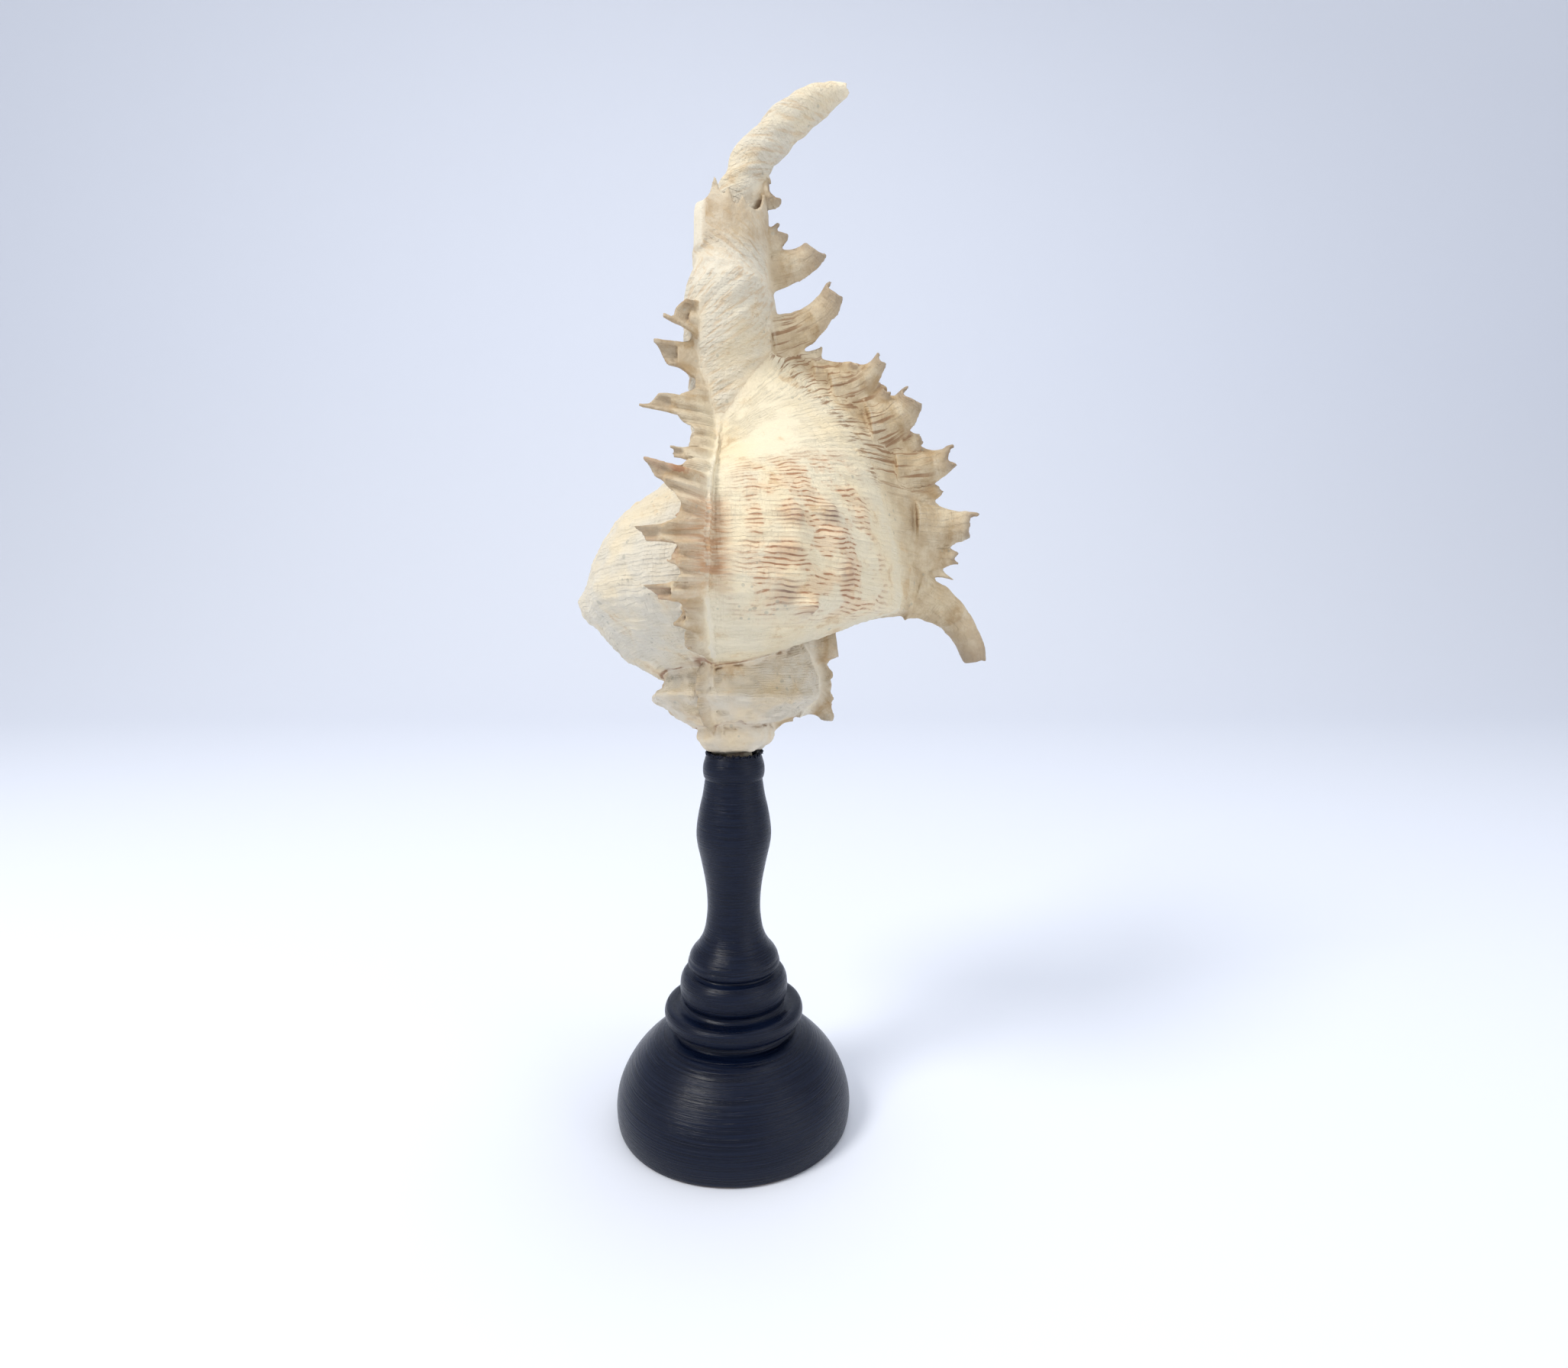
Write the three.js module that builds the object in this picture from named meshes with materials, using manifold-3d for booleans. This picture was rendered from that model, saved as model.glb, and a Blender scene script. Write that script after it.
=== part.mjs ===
// A murex shell standing spire down on a turned wooden stand.
// Millimetres, +Z up. The origin is the centre of the stand's foot, and +X is the side of the outer lip.
import * as THREE from 'three';
import { mergeVertices } from 'three/addons/utils/BufferGeometryUtils.js';
import Module from 'manifold-3d';

const wasm = await Module();
wasm.setup();

// Stand: driving dimensions
const FOOT_RADIUS = 34.6;
const DOME_RADIUS = 35.2;
const DOME_WIDEST_Z = 5;
const DOME_TOP_Z = 28;
const DOME_TOP_RADIUS = 17.5;
const DISC_RADIUS = 20.7;
const DISC_BOTTOM_Z = 31.4;
const DISC_TOP_Z = 36;
const RING_RADIUS = 15.9;
const RING_TOP_Z = 46.4;
const BELL_RADIUS = 13.7;
const BELL_EDGE_Z = 49.6;
const WAIST_RADIUS = 7.8;
const WAIST_Z = 66;
const BULGE_RADIUS = 10.9;
const BULGE_Z = 88;
const CUP_RADIUS = 8.9;
const STAND_TOP_Z = 112.1;
const STAND_SIDES = 32;

// Socket in the top of the stand and the part of the spire that sits in it
const SOCKET_TOP_RADIUS = 7;
const SOCKET_FLOOR_RADIUS = 5.6;
const SOCKET_DEPTH = 8.8;
const FIT_GAP = 0.3;

// Shell growth: a turn of the coil doubles it
const APEX_Z = 103.8;
const LIP_SHOULDER_RISE = 58.4;
const LIP_AZIMUTH = 8;
const GROWTH_PER_TURN = 2;
const COIL_OFFSET_X = -3.3;
const LEAN_X = 0.153;
const LEAN_Y = 0.18;

// Growth angles in degrees before the outer lip at which the shell paused and built a varix
const VARIX_ANGLES = [0, -101, -221, -356, -466, -576, -716, -826, -946, -1080];
const BODY_STAGES = 3;
const STAGE_OVERLAP = 6;

// Each varix ends in a flange, which is highest at the outer lip
const FLANGE_ANGLE = 17;
const EARLY_FLANGE = 0.45;

// Outline of a whorl in a plane through the coil axis, at the size it has at the outer lip:
// radius from the axis, rise above the shoulder, height of the flange.
// The last stage changes from the early form to the late one.
const EARLY_OUTLINE = [
  [4, 80, 2], [6, 72, 3], [9, 64, 4], [14, 56, 5], [21, 48, 7], [32, 40, 9], [41.5, 32, 10],
  [47.5, 23, 10], [52, 12, 9], [53.5, 2, 6], [51.5, -3, 4], [44, -10.5, 3], [38, -15.5, 3], [23, -20.5, 3],
];
const LATE_OUTLINE = [
  [7, 84, 3], [9.5, 76, 4], [13, 68, 5], [22, 60.5, 7], [35, 51.5, 9.5], [42, 42, 12], [46, 32, 13],
  [48.5, 23, 13.5], [51, 12, 12], [52, 2, 8], [50.5, -1.5, 4], [43, -4.5, 1], [34, -8, 0], [22, -11.5, 0],
];

// Fronds of each varix, top to bottom: height, reach outwards, up and back, half width at root and tip, fork
const LIP_FRONDS = [
  [263, 4, 1.3, 2, 3.5, 2.5, 1.2], [251, 6, 3.5, 2, 3.2, 1.8, 1.2], [244, 14, 5.5, 3, 6.5, 2.6, 2.2],
  [228, 10, 9, 4, 5.5, 2.5, 2.4], [218, 5, 3, 2, 3, 0.9, 0.5], [214.5, 8, 8, 4, 4.2, 1.5, 1],
  [210.5, 5, 4, 3, 2.8, 1.2, 0.5], [205, 6.5, 8, 4, 5.6, 3, 2], [199, 5, 3, 3, 3, 1, 0.5],
  [193.5, 10.5, 3.5, 4, 4.6, 2.1, 1.2], [186.5, 5, 1.8, 2, 2.4, 0.9, 0.3], [177.5, 11, 0, 4, 5.6, 2.4, 0.8],
  [169, 5.5, -0.8, 3, 3, 1.2, 0.4], [159, 12.5, -21, 4, 8, 2.7, 0.4],
];
const LEFT_FRONDS = [
  [227, 7.5, 4, 8, 3.6, 3, 0.8], [219.5, 6, 1.5, 13, 3.6, 2.6, 0.8], [206, 5.5, 1.5, 15.5, 3.4, 1.8, 0.8],
  [192, 3, 1, 8.5, 1.8, 1.2, 0.4], [188.5, 3, -0.5, 7.5, 1.6, 1, 0.4], [182.5, 4, 5.5, 12.5, 4.4, 1.6, 1],
  [178, 3.5, 0, 5, 1.8, 1.2, 0.4], [173.5, 5, -1, 13.5, 2.6, 1.5, 0.8], [167, 3.5, 1, 6, 2.6, 1.8, 0.5],
  [159.5, 4, 0, 11, 3, 1.5, 0.5], [153, 2.5, 1, 6, 3, 2.4, 0.5],
];
const BACK_FRONDS = [
  [190, 3.5, 3, 7, 2.4, 1.8, 0.8], [182, 4, 1.5, 10, 2.6, 1.6, 0.8], [173, 4, 1.5, 11, 2.8, 1.5, 0.8],
  [165, 3, 0.5, 6, 1.8, 1, 0.4], [157, 4, 0.5, 10, 2.4, 1.3, 0.6], [149, 3, 0, 6, 2, 1.2, 0.4],
  [141, 6, -3, 5, 2.8, 1.4, 0.4],
];
const SPIRE_FRONDS = [
  { varix: -356, fronds: [[142.5, 5.5, 0.5, 1, 4, 3.4, 0.4], [127.5, 3, -7.5, 2, 3.4, 1.4, 0.8]] },
  { varix: -576, fronds: [[131, 3, 0.5, 1, 3, 2, 0.4], [124.5, 3, -1, 1, 2.4, 1.4, 0.4]] },
  { varix: -716, fronds: [[121, 4.5, -1, 1, 2.2, 1, 0.4]] },
];
const VARIX_FRONDS = [
  { varix: VARIX_ANGLES[0], fronds: LIP_FRONDS }, { varix: VARIX_ANGLES[1], fronds: LEFT_FRONDS },
  { varix: VARIX_ANGLES[2], fronds: BACK_FRONDS }, ...SPIRE_FRONDS,
];
const FROND_SETBACK = 3;
const FROND_BURIED = 6;
const FROND_THICKNESS = 0.8;
const FROND_STATIONS = [0, 0.4, 0.75, 1];
const FROND_SECTION = [[-1, 0], [-0.6, -1], [0.6, -1], [1, 0], [0, -0.45]];

// Knobs between the varices: growth angle, rise at lip size, then how far each reaches out, along and up
const KNOBS = [
  [-69, -2, 4, 4, 4.5], [-72, 23, 2, 4, 9], [-60, 32, 1.8, 4, 9],
  [-178, 2, 2.5, 4.5, 5.5], [-150, 2, 2.5, 4, 4.5], [-285, 2, 3, 3.5, 4], [-320, 2, 3, 3.5, 4],
];

// Outline of the aperture in the plane of the lip: radius, rise
const APERTURE_OUTLINE = [
  [14.5, 36], [15.5, 48], [18.5, 55], [24, 53], [32, 45], [38.5, 35], [43, 24], [46, 12],
  [46, 3], [40, -1], [32, 1], [25, 8], [19, 16], [15.5, 26],
];
const APERTURE_CENTRE = [29, 26];
const CAVITY_ANGLE = 100;
const CAVITY_END_SIZE = 0.4;

// Canal centre line: x, y, z, and the canal's radius there
const CANAL_LINE = [
  [-3, 0, 188, 8], [-2, 0, 213, 9.5], [-0.6, 0, 226, 11.8], [-0.8, 0, 238, 12], [-1.6, 0, 248, 9.8],
  [-0.8, 0, 256, 7.8], [1.5, 0, 263.4, 6.4], [5.6, -0.5, 272.6, 5.9], [13.4, -1.5, 281.2, 5.8],
  [22.6, -2.5, 287.6, 4.8], [30, -3.5, 290, 2.2],
];

// The ragged end of an older canal stands round the foot of the last one
const COLLAR_BOTTOM_Z = 241;
const COLLAR_TOP_Z = 257;
const COLLAR_BOTTOM_RADIUS = 11;
const COLLAR_TOP_RADIUS = 9.4;
const COLLAR_X = -0.6;
const COLLAR_SPIKES = [[100, 5], [255, 6.5], [290, 5], [345, 4]];

const degrees = THREE.MathUtils.degToRad;

// Turns a closed triangle soup into a solid
function solidFrom(geometry) {
  const bare = geometry.clone();
  bare.deleteAttribute('normal');
  bare.deleteAttribute('uv');
  const welded = mergeVertices(bare, 1e-4);
  const index = welded.index.array;
  const kept = [];
  for (let i = 0; i < index.length; i += 3) {
    const [a, b, c] = [index[i], index[i + 1], index[i + 2]];
    if (a !== b && b !== c && c !== a) kept.push(a, b, c);
  }
  return new wasm.Manifold(new wasm.Mesh({
    numProp: 3,
    vertProperties: new Float32Array(welded.attributes.position.array),
    triVerts: new Uint32Array(kept),
  }));
}

function geometryFrom(solid) {
  const mesh = solid.getMesh();
  const geometry = new THREE.BufferGeometry();
  geometry.setAttribute('position', new THREE.BufferAttribute(new Float32Array(mesh.vertProperties), 3));
  geometry.setIndex(new THREE.BufferAttribute(new Uint32Array(mesh.triVerts), 1));
  geometry.computeVertexNormals();
  return geometry;
}

function soupGeometry(triangles) {
  const geometry = new THREE.BufferGeometry();
  const flat = triangles.flat().flatMap((point) => [point.x, point.y, point.z]);
  geometry.setAttribute('position', new THREE.Float32BufferAttribute(flat, 3));
  return geometry;
}

// Closes a ring of points with triangles that turn the way the ring does
function capTriangles(ring, flat) {
  const turn = Math.sign(THREE.ShapeUtils.area(flat));
  return THREE.ShapeUtils.triangulateShape(flat, []).map(([a, b, c]) => {
    const sameTurn = Math.sign(THREE.ShapeUtils.area([flat[a], flat[b], flat[c]])) === turn;
    return sameTurn ? [ring[a], ring[b], ring[c]] : [ring[a], ring[c], ring[b]];
  });
}

// Signed volume decides which way a closed set of triangles points
function facingOut(triangles) {
  let volume = 0;
  for (const [a, b, c] of triangles) volume += a.dot(new THREE.Vector3().crossVectors(b, c));
  return volume > 0 ? triangles : triangles.map(([a, b, c]) => [a, c, b]);
}

// A solid through closed rings of equal length, with a flat cap at each end
function loftSolid(rings, flatRing) {
  const triangles = [];
  const count = rings[0].length;
  for (let i = 0; i + 1 < rings.length; i += 1) {
    for (let j = 0; j < count; j += 1) {
      const k = (j + 1) % count;
      triangles.push([rings[i][j], rings[i][k], rings[i + 1][k]]);
      triangles.push([rings[i][j], rings[i + 1][k], rings[i + 1][j]]);
    }
  }
  const last = rings[rings.length - 1];
  const flat = flatRing ?? ringFlat(count);
  triangles.push(...capTriangles(last, flat));
  for (const [a, b, c] of capTriangles(rings[0], flat)) triangles.push([a, c, b]);
  return solidFrom(soupGeometry(facingOut(triangles)));
}

function ringFlat(count) {
  const flat = [];
  for (let j = 0; j < count; j += 1) {
    const angle = (2 * Math.PI * j) / count;
    flat.push(new THREE.Vector2(Math.cos(angle), Math.sin(angle)));
  }
  return flat;
}

function latheSolid(profile, sides) {
  const points = profile.map(([radius, height]) => new THREE.Vector2(radius, height));
  const geometry = new THREE.LatheGeometry(points, sides);
  geometry.rotateX(Math.PI / 2);
  return solidFrom(geometry);
}

// Size, direction and place of the coil at a growth angle in degrees
function coilSize(angle) {
  return GROWTH_PER_TURN ** (angle / 360);
}

function coilFrame(angle) {
  const azimuth = degrees(LIP_AZIMUTH + angle);
  return {
    out: new THREE.Vector3(Math.cos(azimuth), Math.sin(azimuth), 0),
    along: new THREE.Vector3(-Math.sin(azimuth), Math.cos(azimuth), 0),
    size: coilSize(angle),
  };
}

// A point of the coil from its growth angle and its radius and rise at lip size
function coilPoint(angle, radius, rise, extra = 0) {
  const { out, size } = coilFrame(angle);
  const reach = radius * size + extra;
  const x = COIL_OFFSET_X * Math.sqrt(size) + out.x * reach;
  const y = out.y * reach;
  const lean = 1 - THREE.MathUtils.smoothstep(rise, 40, 90);
  const z = APEX_Z + (LIP_SHOULDER_RISE + rise) * size;
  return new THREE.Vector3(x, y, z - lean * (LEAN_X * x + LEAN_Y * y));
}

// The whorl's outline at a growth angle, still at lip size
function outlineAt(angle) {
  const late = THREE.MathUtils.smoothstep(angle, VARIX_ANGLES[1], 0);
  return EARLY_OUTLINE.map((early, i) => early.map((value, k) => THREE.MathUtils.lerp(value, LATE_OUTLINE[i][k], late)));
}

// The outline as points in space, with the share of the flange that stands at that angle
function outlineRing(angle, flangeShare) {
  const height = angle > VARIX_ANGLES[1] ? 1 : EARLY_FLANGE * coilSize(angle);
  return outlineAt(angle).map(([radius, rise, flange]) => coilPoint(angle, radius, rise, flange * height * flangeShare));
}

// One growth stage, a wedge of the coil from the axis out to the whorl's outline
function stageSolid(start, end, plainSteps, flangeSteps) {
  const flangeStart = end - FLANGE_ANGLE;
  const rings = [];
  for (let i = 0; i < plainSteps; i += 1) {
    rings.push(outlineRing(THREE.MathUtils.lerp(start, flangeStart, i / plainSteps), 0));
  }
  for (let i = 0; i <= flangeSteps; i += 1) {
    const share = i / flangeSteps;
    rings.push(outlineRing(THREE.MathUtils.lerp(flangeStart, end, share), share ** 1.7));
  }
  const middle = (start + end) / 2;
  const outline = outlineAt(middle);
  const count = outline.length;
  const topRise = outline[0][1] + 2;
  const bottomRise = outline[count - 1][1] - 3;
  const top = coilPoint(middle, 0, topRise);
  const bottom = coilPoint(middle, 0, bottomRise);
  const triangles = [];
  for (let i = 0; i + 1 < rings.length; i += 1) {
    const [a, b] = [rings[i], rings[i + 1]];
    for (let j = 0; j + 1 < count; j += 1) {
      triangles.push([a[j], a[j + 1], b[j + 1]], [a[j], b[j + 1], b[j]]);
    }
    triangles.push([top, a[0], b[0]], [bottom, b[count - 1], a[count - 1]]);
  }
  const flat = [[0, topRise], ...outline, [0, bottomRise]].map(([radius, rise]) => new THREE.Vector2(radius, rise));
  for (const [p, q, r] of capTriangles([top, ...rings[0], bottom], flat)) triangles.push([p, r, q]);
  triangles.push(...capTriangles([top, ...rings.at(-1), bottom], flat));
  return solidFrom(soupGeometry(facingOut(triangles)));
}

function growthStages() {
  const stages = [];
  for (let k = 0; k + 1 < VARIX_ANGLES.length; k += 1) {
    const [plainSteps, flangeSteps] = k < BODY_STAGES ? [9, 4] : [5, 3];
    stages.push(stageSolid(VARIX_ANGLES[k + 1] - STAGE_OVERLAP, VARIX_ANGLES[k], plainSteps, flangeSteps));
  }
  return stages;
}

// The point of a varix's edge at a height
function lipPoint(varixAngle, height) {
  const ring = outlineRing(varixAngle, 1);
  const last = ring.length - 2;
  let i = 0;
  while (i < last && ring[i + 1].z > height) i += 1;
  const share = THREE.MathUtils.clamp((height - ring[i].z) / (ring[i + 1].z - ring[i].z), 0, 1);
  const point = ring[i].clone().lerp(ring[i + 1], share);
  point.z = height;
  return point;
}

// A frond is a trough: it leaves the varix outwards and bends back over the older shell
function frondSolid(varixAngle, [height, outward, up, back, half, tipHalf, fork]) {
  const { out, along, size } = coilFrame(varixAngle);
  const climb = new THREE.Vector3(0, 0, 1);
  const root = lipPoint(varixAngle, height).addScaledVector(along, -FROND_SETBACK / 2);
  const buried = root.clone().addScaledVector(out, -FROND_BURIED * Math.sqrt(size));
  const bend = root.clone().addScaledVector(out, outward * 0.75).addScaledVector(climb, up * 0.25);
  const tip = root.clone().addScaledVector(out, outward).addScaledVector(climb, up).addScaledVector(along, -back);
  const line = new THREE.QuadraticBezierCurve3(buried, bend, tip);
  const rings = FROND_STATIONS.map((t, i) => {
    const centre = line.getPoint(t);
    const ahead = line.getTangent(t);
    const open = new THREE.Vector3().crossVectors(climb, ahead).normalize();
    const wide = new THREE.Vector3().crossVectors(ahead, open).normalize();
    const reach = THREE.MathUtils.lerp(half * 1.15, tipHalf, Math.sqrt(t));
    const ends = i === FROND_STATIONS.length - 1 ? fork : 0;
    return FROND_SECTION.map(([across, depth]) => centre.clone()
      .addScaledVector(wide, across * reach)
      .addScaledVector(open, depth * reach * FROND_THICKNESS)
      .addScaledVector(ahead, Math.abs(across) === 1 ? ends : 0));
  });
  return loftSolid(rings, FROND_SECTION.map(([across, depth]) => new THREE.Vector2(across, depth)));
}

function frondSolids() {
  return VARIX_FRONDS.flatMap(({ varix, fronds }) => fronds.map((frond) => frondSolid(varix, frond)));
}

// Low knobs on the ribs between two varices
function knobSolid([angle, rise, tall, wide, high]) {
  const { out } = coilFrame(angle);
  const outline = outlineAt(angle);
  const index = outline.findIndex(([, level]) => level <= rise);
  const place = coilPoint(angle, outline[index][0], outline[index][1]);
  const geometry = new THREE.SphereGeometry(1, 8, 6);
  geometry.rotateX(Math.PI / 2);
  geometry.scale(tall, wide, high);
  geometry.rotateZ(Math.atan2(out.y, out.x));
  geometry.translate(place.x, place.y, place.z);
  return solidFrom(geometry);
}

// Radius of the canal and rings across its centre line
function canalSolid() {
  const centres = new THREE.CatmullRomCurve3(CANAL_LINE.map(([x, y, z]) => new THREE.Vector3(x, y, z)));
  const steps = 16;
  const sides = 10;
  const rings = [];
  for (let i = 0; i <= steps; i += 1) {
    const t = i / steps;
    const place = t * (CANAL_LINE.length - 1);
    const k = Math.min(Math.floor(place), CANAL_LINE.length - 2);
    const radius = THREE.MathUtils.lerp(CANAL_LINE[k][3], CANAL_LINE[k + 1][3], place - k);
    const centre = centres.getPoint(t);
    const along = centres.getTangent(t);
    const side = new THREE.Vector3().crossVectors(along, new THREE.Vector3(0, 1, 0)).normalize();
    const front = new THREE.Vector3().crossVectors(side, along).normalize();
    const ring = [];
    for (let j = 0; j < sides; j += 1) {
      const angle = (2 * Math.PI * j) / sides;
      ring.push(centre.clone()
        .addScaledVector(side, radius * Math.cos(angle))
        .addScaledVector(front, radius * Math.sin(angle)));
    }
    rings.push(ring);
  }
  return loftSolid(rings);
}

// The old canal's end, with ragged points round its rim
function collarSolids() {
  const height = COLLAR_TOP_Z - COLLAR_BOTTOM_Z;
  const sleeve = new THREE.CylinderGeometry(COLLAR_TOP_RADIUS, COLLAR_BOTTOM_RADIUS, height, 12);
  sleeve.rotateX(Math.PI / 2);
  sleeve.translate(COLLAR_X, 0, (COLLAR_TOP_Z + COLLAR_BOTTOM_Z) / 2);
  const spikes = COLLAR_SPIKES.map(([azimuth, tall]) => {
    const spike = new THREE.ConeGeometry(3, tall + 4, 4);
    spike.rotateX(Math.PI / 2);
    const reach = COLLAR_TOP_RADIUS - 1.5;
    const angle = degrees(azimuth);
    spike.translate(COLLAR_X + reach * Math.cos(angle), reach * Math.sin(angle), COLLAR_TOP_Z + tall / 2 - 2);
    return solidFrom(spike);
  });
  return [solidFrom(sleeve), ...spikes];
}

// The hollow of the last whorl, wide at the lip and narrowing into the coil
function cavitySolid() {
  const steps = 10;
  const rings = [];
  for (let i = 0; i <= steps; i += 1) {
    const depth = i / steps;
    const angle = THREE.MathUtils.lerp(6, -CAVITY_ANGLE, depth);
    const size = THREE.MathUtils.lerp(1, CAVITY_END_SIZE, depth ** 2);
    rings.push(APERTURE_OUTLINE.map(([radius, rise]) => coilPoint(
      angle,
      APERTURE_CENTRE[0] + (radius - APERTURE_CENTRE[0]) * size,
      APERTURE_CENTRE[1] + (rise - APERTURE_CENTRE[1]) * size,
    )));
  }
  const flat = APERTURE_OUTLINE.map(([radius, rise]) => new THREE.Vector2(radius, rise));
  return loftSolid(rings, flat);
}

// Clear space that the stand's top takes from the spire
function standClearance() {
  const seat = STAND_TOP_Z + FIT_GAP;
  return latheSolid([
    [0, 80], [40, 80], [40, seat], [SOCKET_TOP_RADIUS - FIT_GAP, seat],
    [SOCKET_FLOOR_RADIUS - FIT_GAP, seat - SOCKET_DEPTH], [0, seat - SOCKET_DEPTH],
  ], 24);
}

// The outermost skin of a solid, so that no hollow is left shut in between the whorls
function outerSkin(solid) {
  return solid.decompose().reduce((widest, piece) => (piece.volume() > widest.volume() ? piece : widest));
}

function murexShell() {
  const grown = [...growthStages(), canalSolid(), ...collarSolids(), ...KNOBS.map(knobSolid), ...frondSolids()];
  const whole = outerSkin(grown.reduce((sum, piece) => sum.add(piece)));
  return outerSkin(whole.subtract(cavitySolid()).subtract(standClearance()));
}

function turnedStand() {
  const profile = [
    [0, 0], [FOOT_RADIUS, 0], [DOME_RADIUS, DOME_WIDEST_Z], [33.2, 13.8], [29.4, 20.3], [24.4, 25.2],
    [DOME_TOP_RADIUS, DOME_TOP_Z], [17.2, 30], [DISC_RADIUS - 0.8, DISC_BOTTOM_Z],
    [DISC_RADIUS, (DISC_BOTTOM_Z + DISC_TOP_Z) / 2], [DISC_RADIUS - 0.8, DISC_TOP_Z], [RING_RADIUS - 1, 37.4],
    [RING_RADIUS, 40.4], [RING_RADIUS, 43.4], [RING_RADIUS - 1.4, RING_TOP_Z], [BELL_RADIUS - 1, 47.2],
    [BELL_RADIUS, BELL_EDGE_Z], [12.9, 51.6], [10.6, 54.4], [8.9, 57.4], [WAIST_RADIUS, WAIST_Z],
    [8.3, 73.4], [9.6, 79.4], [BULGE_RADIUS, BULGE_Z], [10, 94.4], [8.6, 101.4], [8.4, 104.4],
    [CUP_RADIUS, 106], [CUP_RADIUS, 108.8], [8, STAND_TOP_Z], [SOCKET_TOP_RADIUS, STAND_TOP_Z],
    [SOCKET_FLOOR_RADIUS, STAND_TOP_Z - SOCKET_DEPTH], [0, STAND_TOP_Z - SOCKET_DEPTH],
  ];
  return latheSolid(profile, STAND_SIDES);
}

function namedMesh(name, solid, color, roughness) {
  const material = new THREE.MeshStandardMaterial({ color, roughness, metalness: 0 });
  const mesh = new THREE.Mesh(geometryFrom(solid), material);
  mesh.name = name;
  return mesh;
}

const model = new THREE.Group();
model.add(namedMesh('murex_shell', murexShell(), 0xe6d9bd, 0.75));
model.add(namedMesh('turned_stand', turnedStand(), 0x161b2b, 0.45));

export default model;
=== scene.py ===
# A murex shell standing spire down on a turned wooden stand, in full detail over its plain solids.
# It is grown in millimetres from the same rule as the solids, and scaled to metres at the end.
import math

import bpy
import numpy as np
import openvdb
from mathutils import Matrix, Vector
from mathutils.bvhtree import BVHTree


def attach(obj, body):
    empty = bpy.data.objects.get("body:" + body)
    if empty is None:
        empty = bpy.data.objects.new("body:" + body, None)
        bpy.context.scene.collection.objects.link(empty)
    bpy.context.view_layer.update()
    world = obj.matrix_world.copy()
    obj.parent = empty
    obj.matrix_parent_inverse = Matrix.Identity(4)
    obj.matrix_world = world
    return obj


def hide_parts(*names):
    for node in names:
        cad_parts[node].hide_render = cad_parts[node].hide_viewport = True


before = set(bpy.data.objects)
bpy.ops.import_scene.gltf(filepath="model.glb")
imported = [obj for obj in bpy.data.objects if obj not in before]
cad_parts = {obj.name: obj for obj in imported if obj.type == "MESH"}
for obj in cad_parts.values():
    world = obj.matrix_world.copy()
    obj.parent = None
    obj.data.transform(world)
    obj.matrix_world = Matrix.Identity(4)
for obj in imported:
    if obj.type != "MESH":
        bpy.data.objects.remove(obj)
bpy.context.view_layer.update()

MM = 0.001
UP = np.array([0.0, 0.0, 1.0])

# Camera, from the photograph's own perspective
CAMERA_PLACE = (0.3, -250.0, 165.4)
CAMERA_PITCH = -7.6
CAMERA_YAW = 3.235
CAMERA_ROLL = 0.4
SENSOR_WIDTH = 36.0
FOCAL_LENGTH = 20.16

# Floor: front edge, half width, where it starts to rise, radius of the rise, top of the backdrop
FLOOR_FRONT = -2500.0
FLOOR_SIDE = 4000.0
FLOOR_BACK = 700.0
FLOOR_BEND = 500.0
FLOOR_TOP = 1800.0

# Lights, in metres and watts: place, the spot they face, size, power, colour
LIGHTS = {
    "key": [(-0.62, -0.42, 0.9), (0, 0, 0.17), 0.36, 6.8, (1.0, 0.98, 0.95)],
    "fill": [(0.9, -0.7, 0.45), (0, 0, 0.15), 0.6, 2.2, (0.97, 0.98, 1.0)],
    "top": [(0.15, 0.1, 1.2), (0, 0, 0.1), 0.8, 3.6, (0.98, 0.99, 1.0)],
}
ROOM_COLOUR = (0.90, 0.93, 1.0, 1.0)
ROOM_STRENGTH = 0.7

# Grid that the shell is formed on
VOXEL = 0.45
BAND = 10
GRID_LOW = (-66.0, -62.0, 96.0)
GRID_HIGH = (76.0, 48.0, 296.0)
SHELL_TRIANGLES = 190000

# Growth of the coil, the same as in the plain solids
APEX_Z = 103.8
LIP_SHOULDER_RISE = 58.4
LIP_AZIMUTH = 8.0
GROWTH_PER_TURN = 2.0
COIL_OFFSET_X = -3.3
LEAN_X = 0.153
LEAN_Y = 0.18
VARIX_ANGLES = [0, -101, -221, -356, -466, -576, -716, -826, -946, -1080]
STAGE_OVERLAP = 6.0
FLANGE_ANGLE = 17.0
FLANGE_CURVE = 1.7
FLANGE_RUFFLE = 0.16
EDGE_WANDER = 0.9
EARLY_FLANGE = 0.45
MM_PER_DEGREE = 0.8

# Outline of a whorl at lip size, early and late: radius, rise above the shoulder, height of the flange
EARLY_OUTLINE = [
    [4, 80, 2], [6, 72, 3], [9, 64, 4], [14, 56, 5], [21, 48, 7], [32, 40, 9], [41.5, 32, 10],
    [47.5, 23, 10], [52, 12, 9], [53.5, 2, 6], [51.5, -3, 4], [44, -10.5, 3], [38, -15.5, 3], [23, -20.5, 3],
]
LATE_OUTLINE = [
    [7, 84, 3], [9.5, 76, 4], [13, 68, 5], [22, 60.5, 7], [35, 51.5, 9.5], [42, 42, 12], [46, 32, 13],
    [48.5, 23, 13.5], [51, 12, 12], [52, 2, 8], [50.5, -1.5, 4], [43, -4.5, 1], [34, -8, 0], [22, -11.5, 0],
]
OUTLINE_POINTS = 170
WEDGE_CENTRE = (8.0, 30.0)

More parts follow.
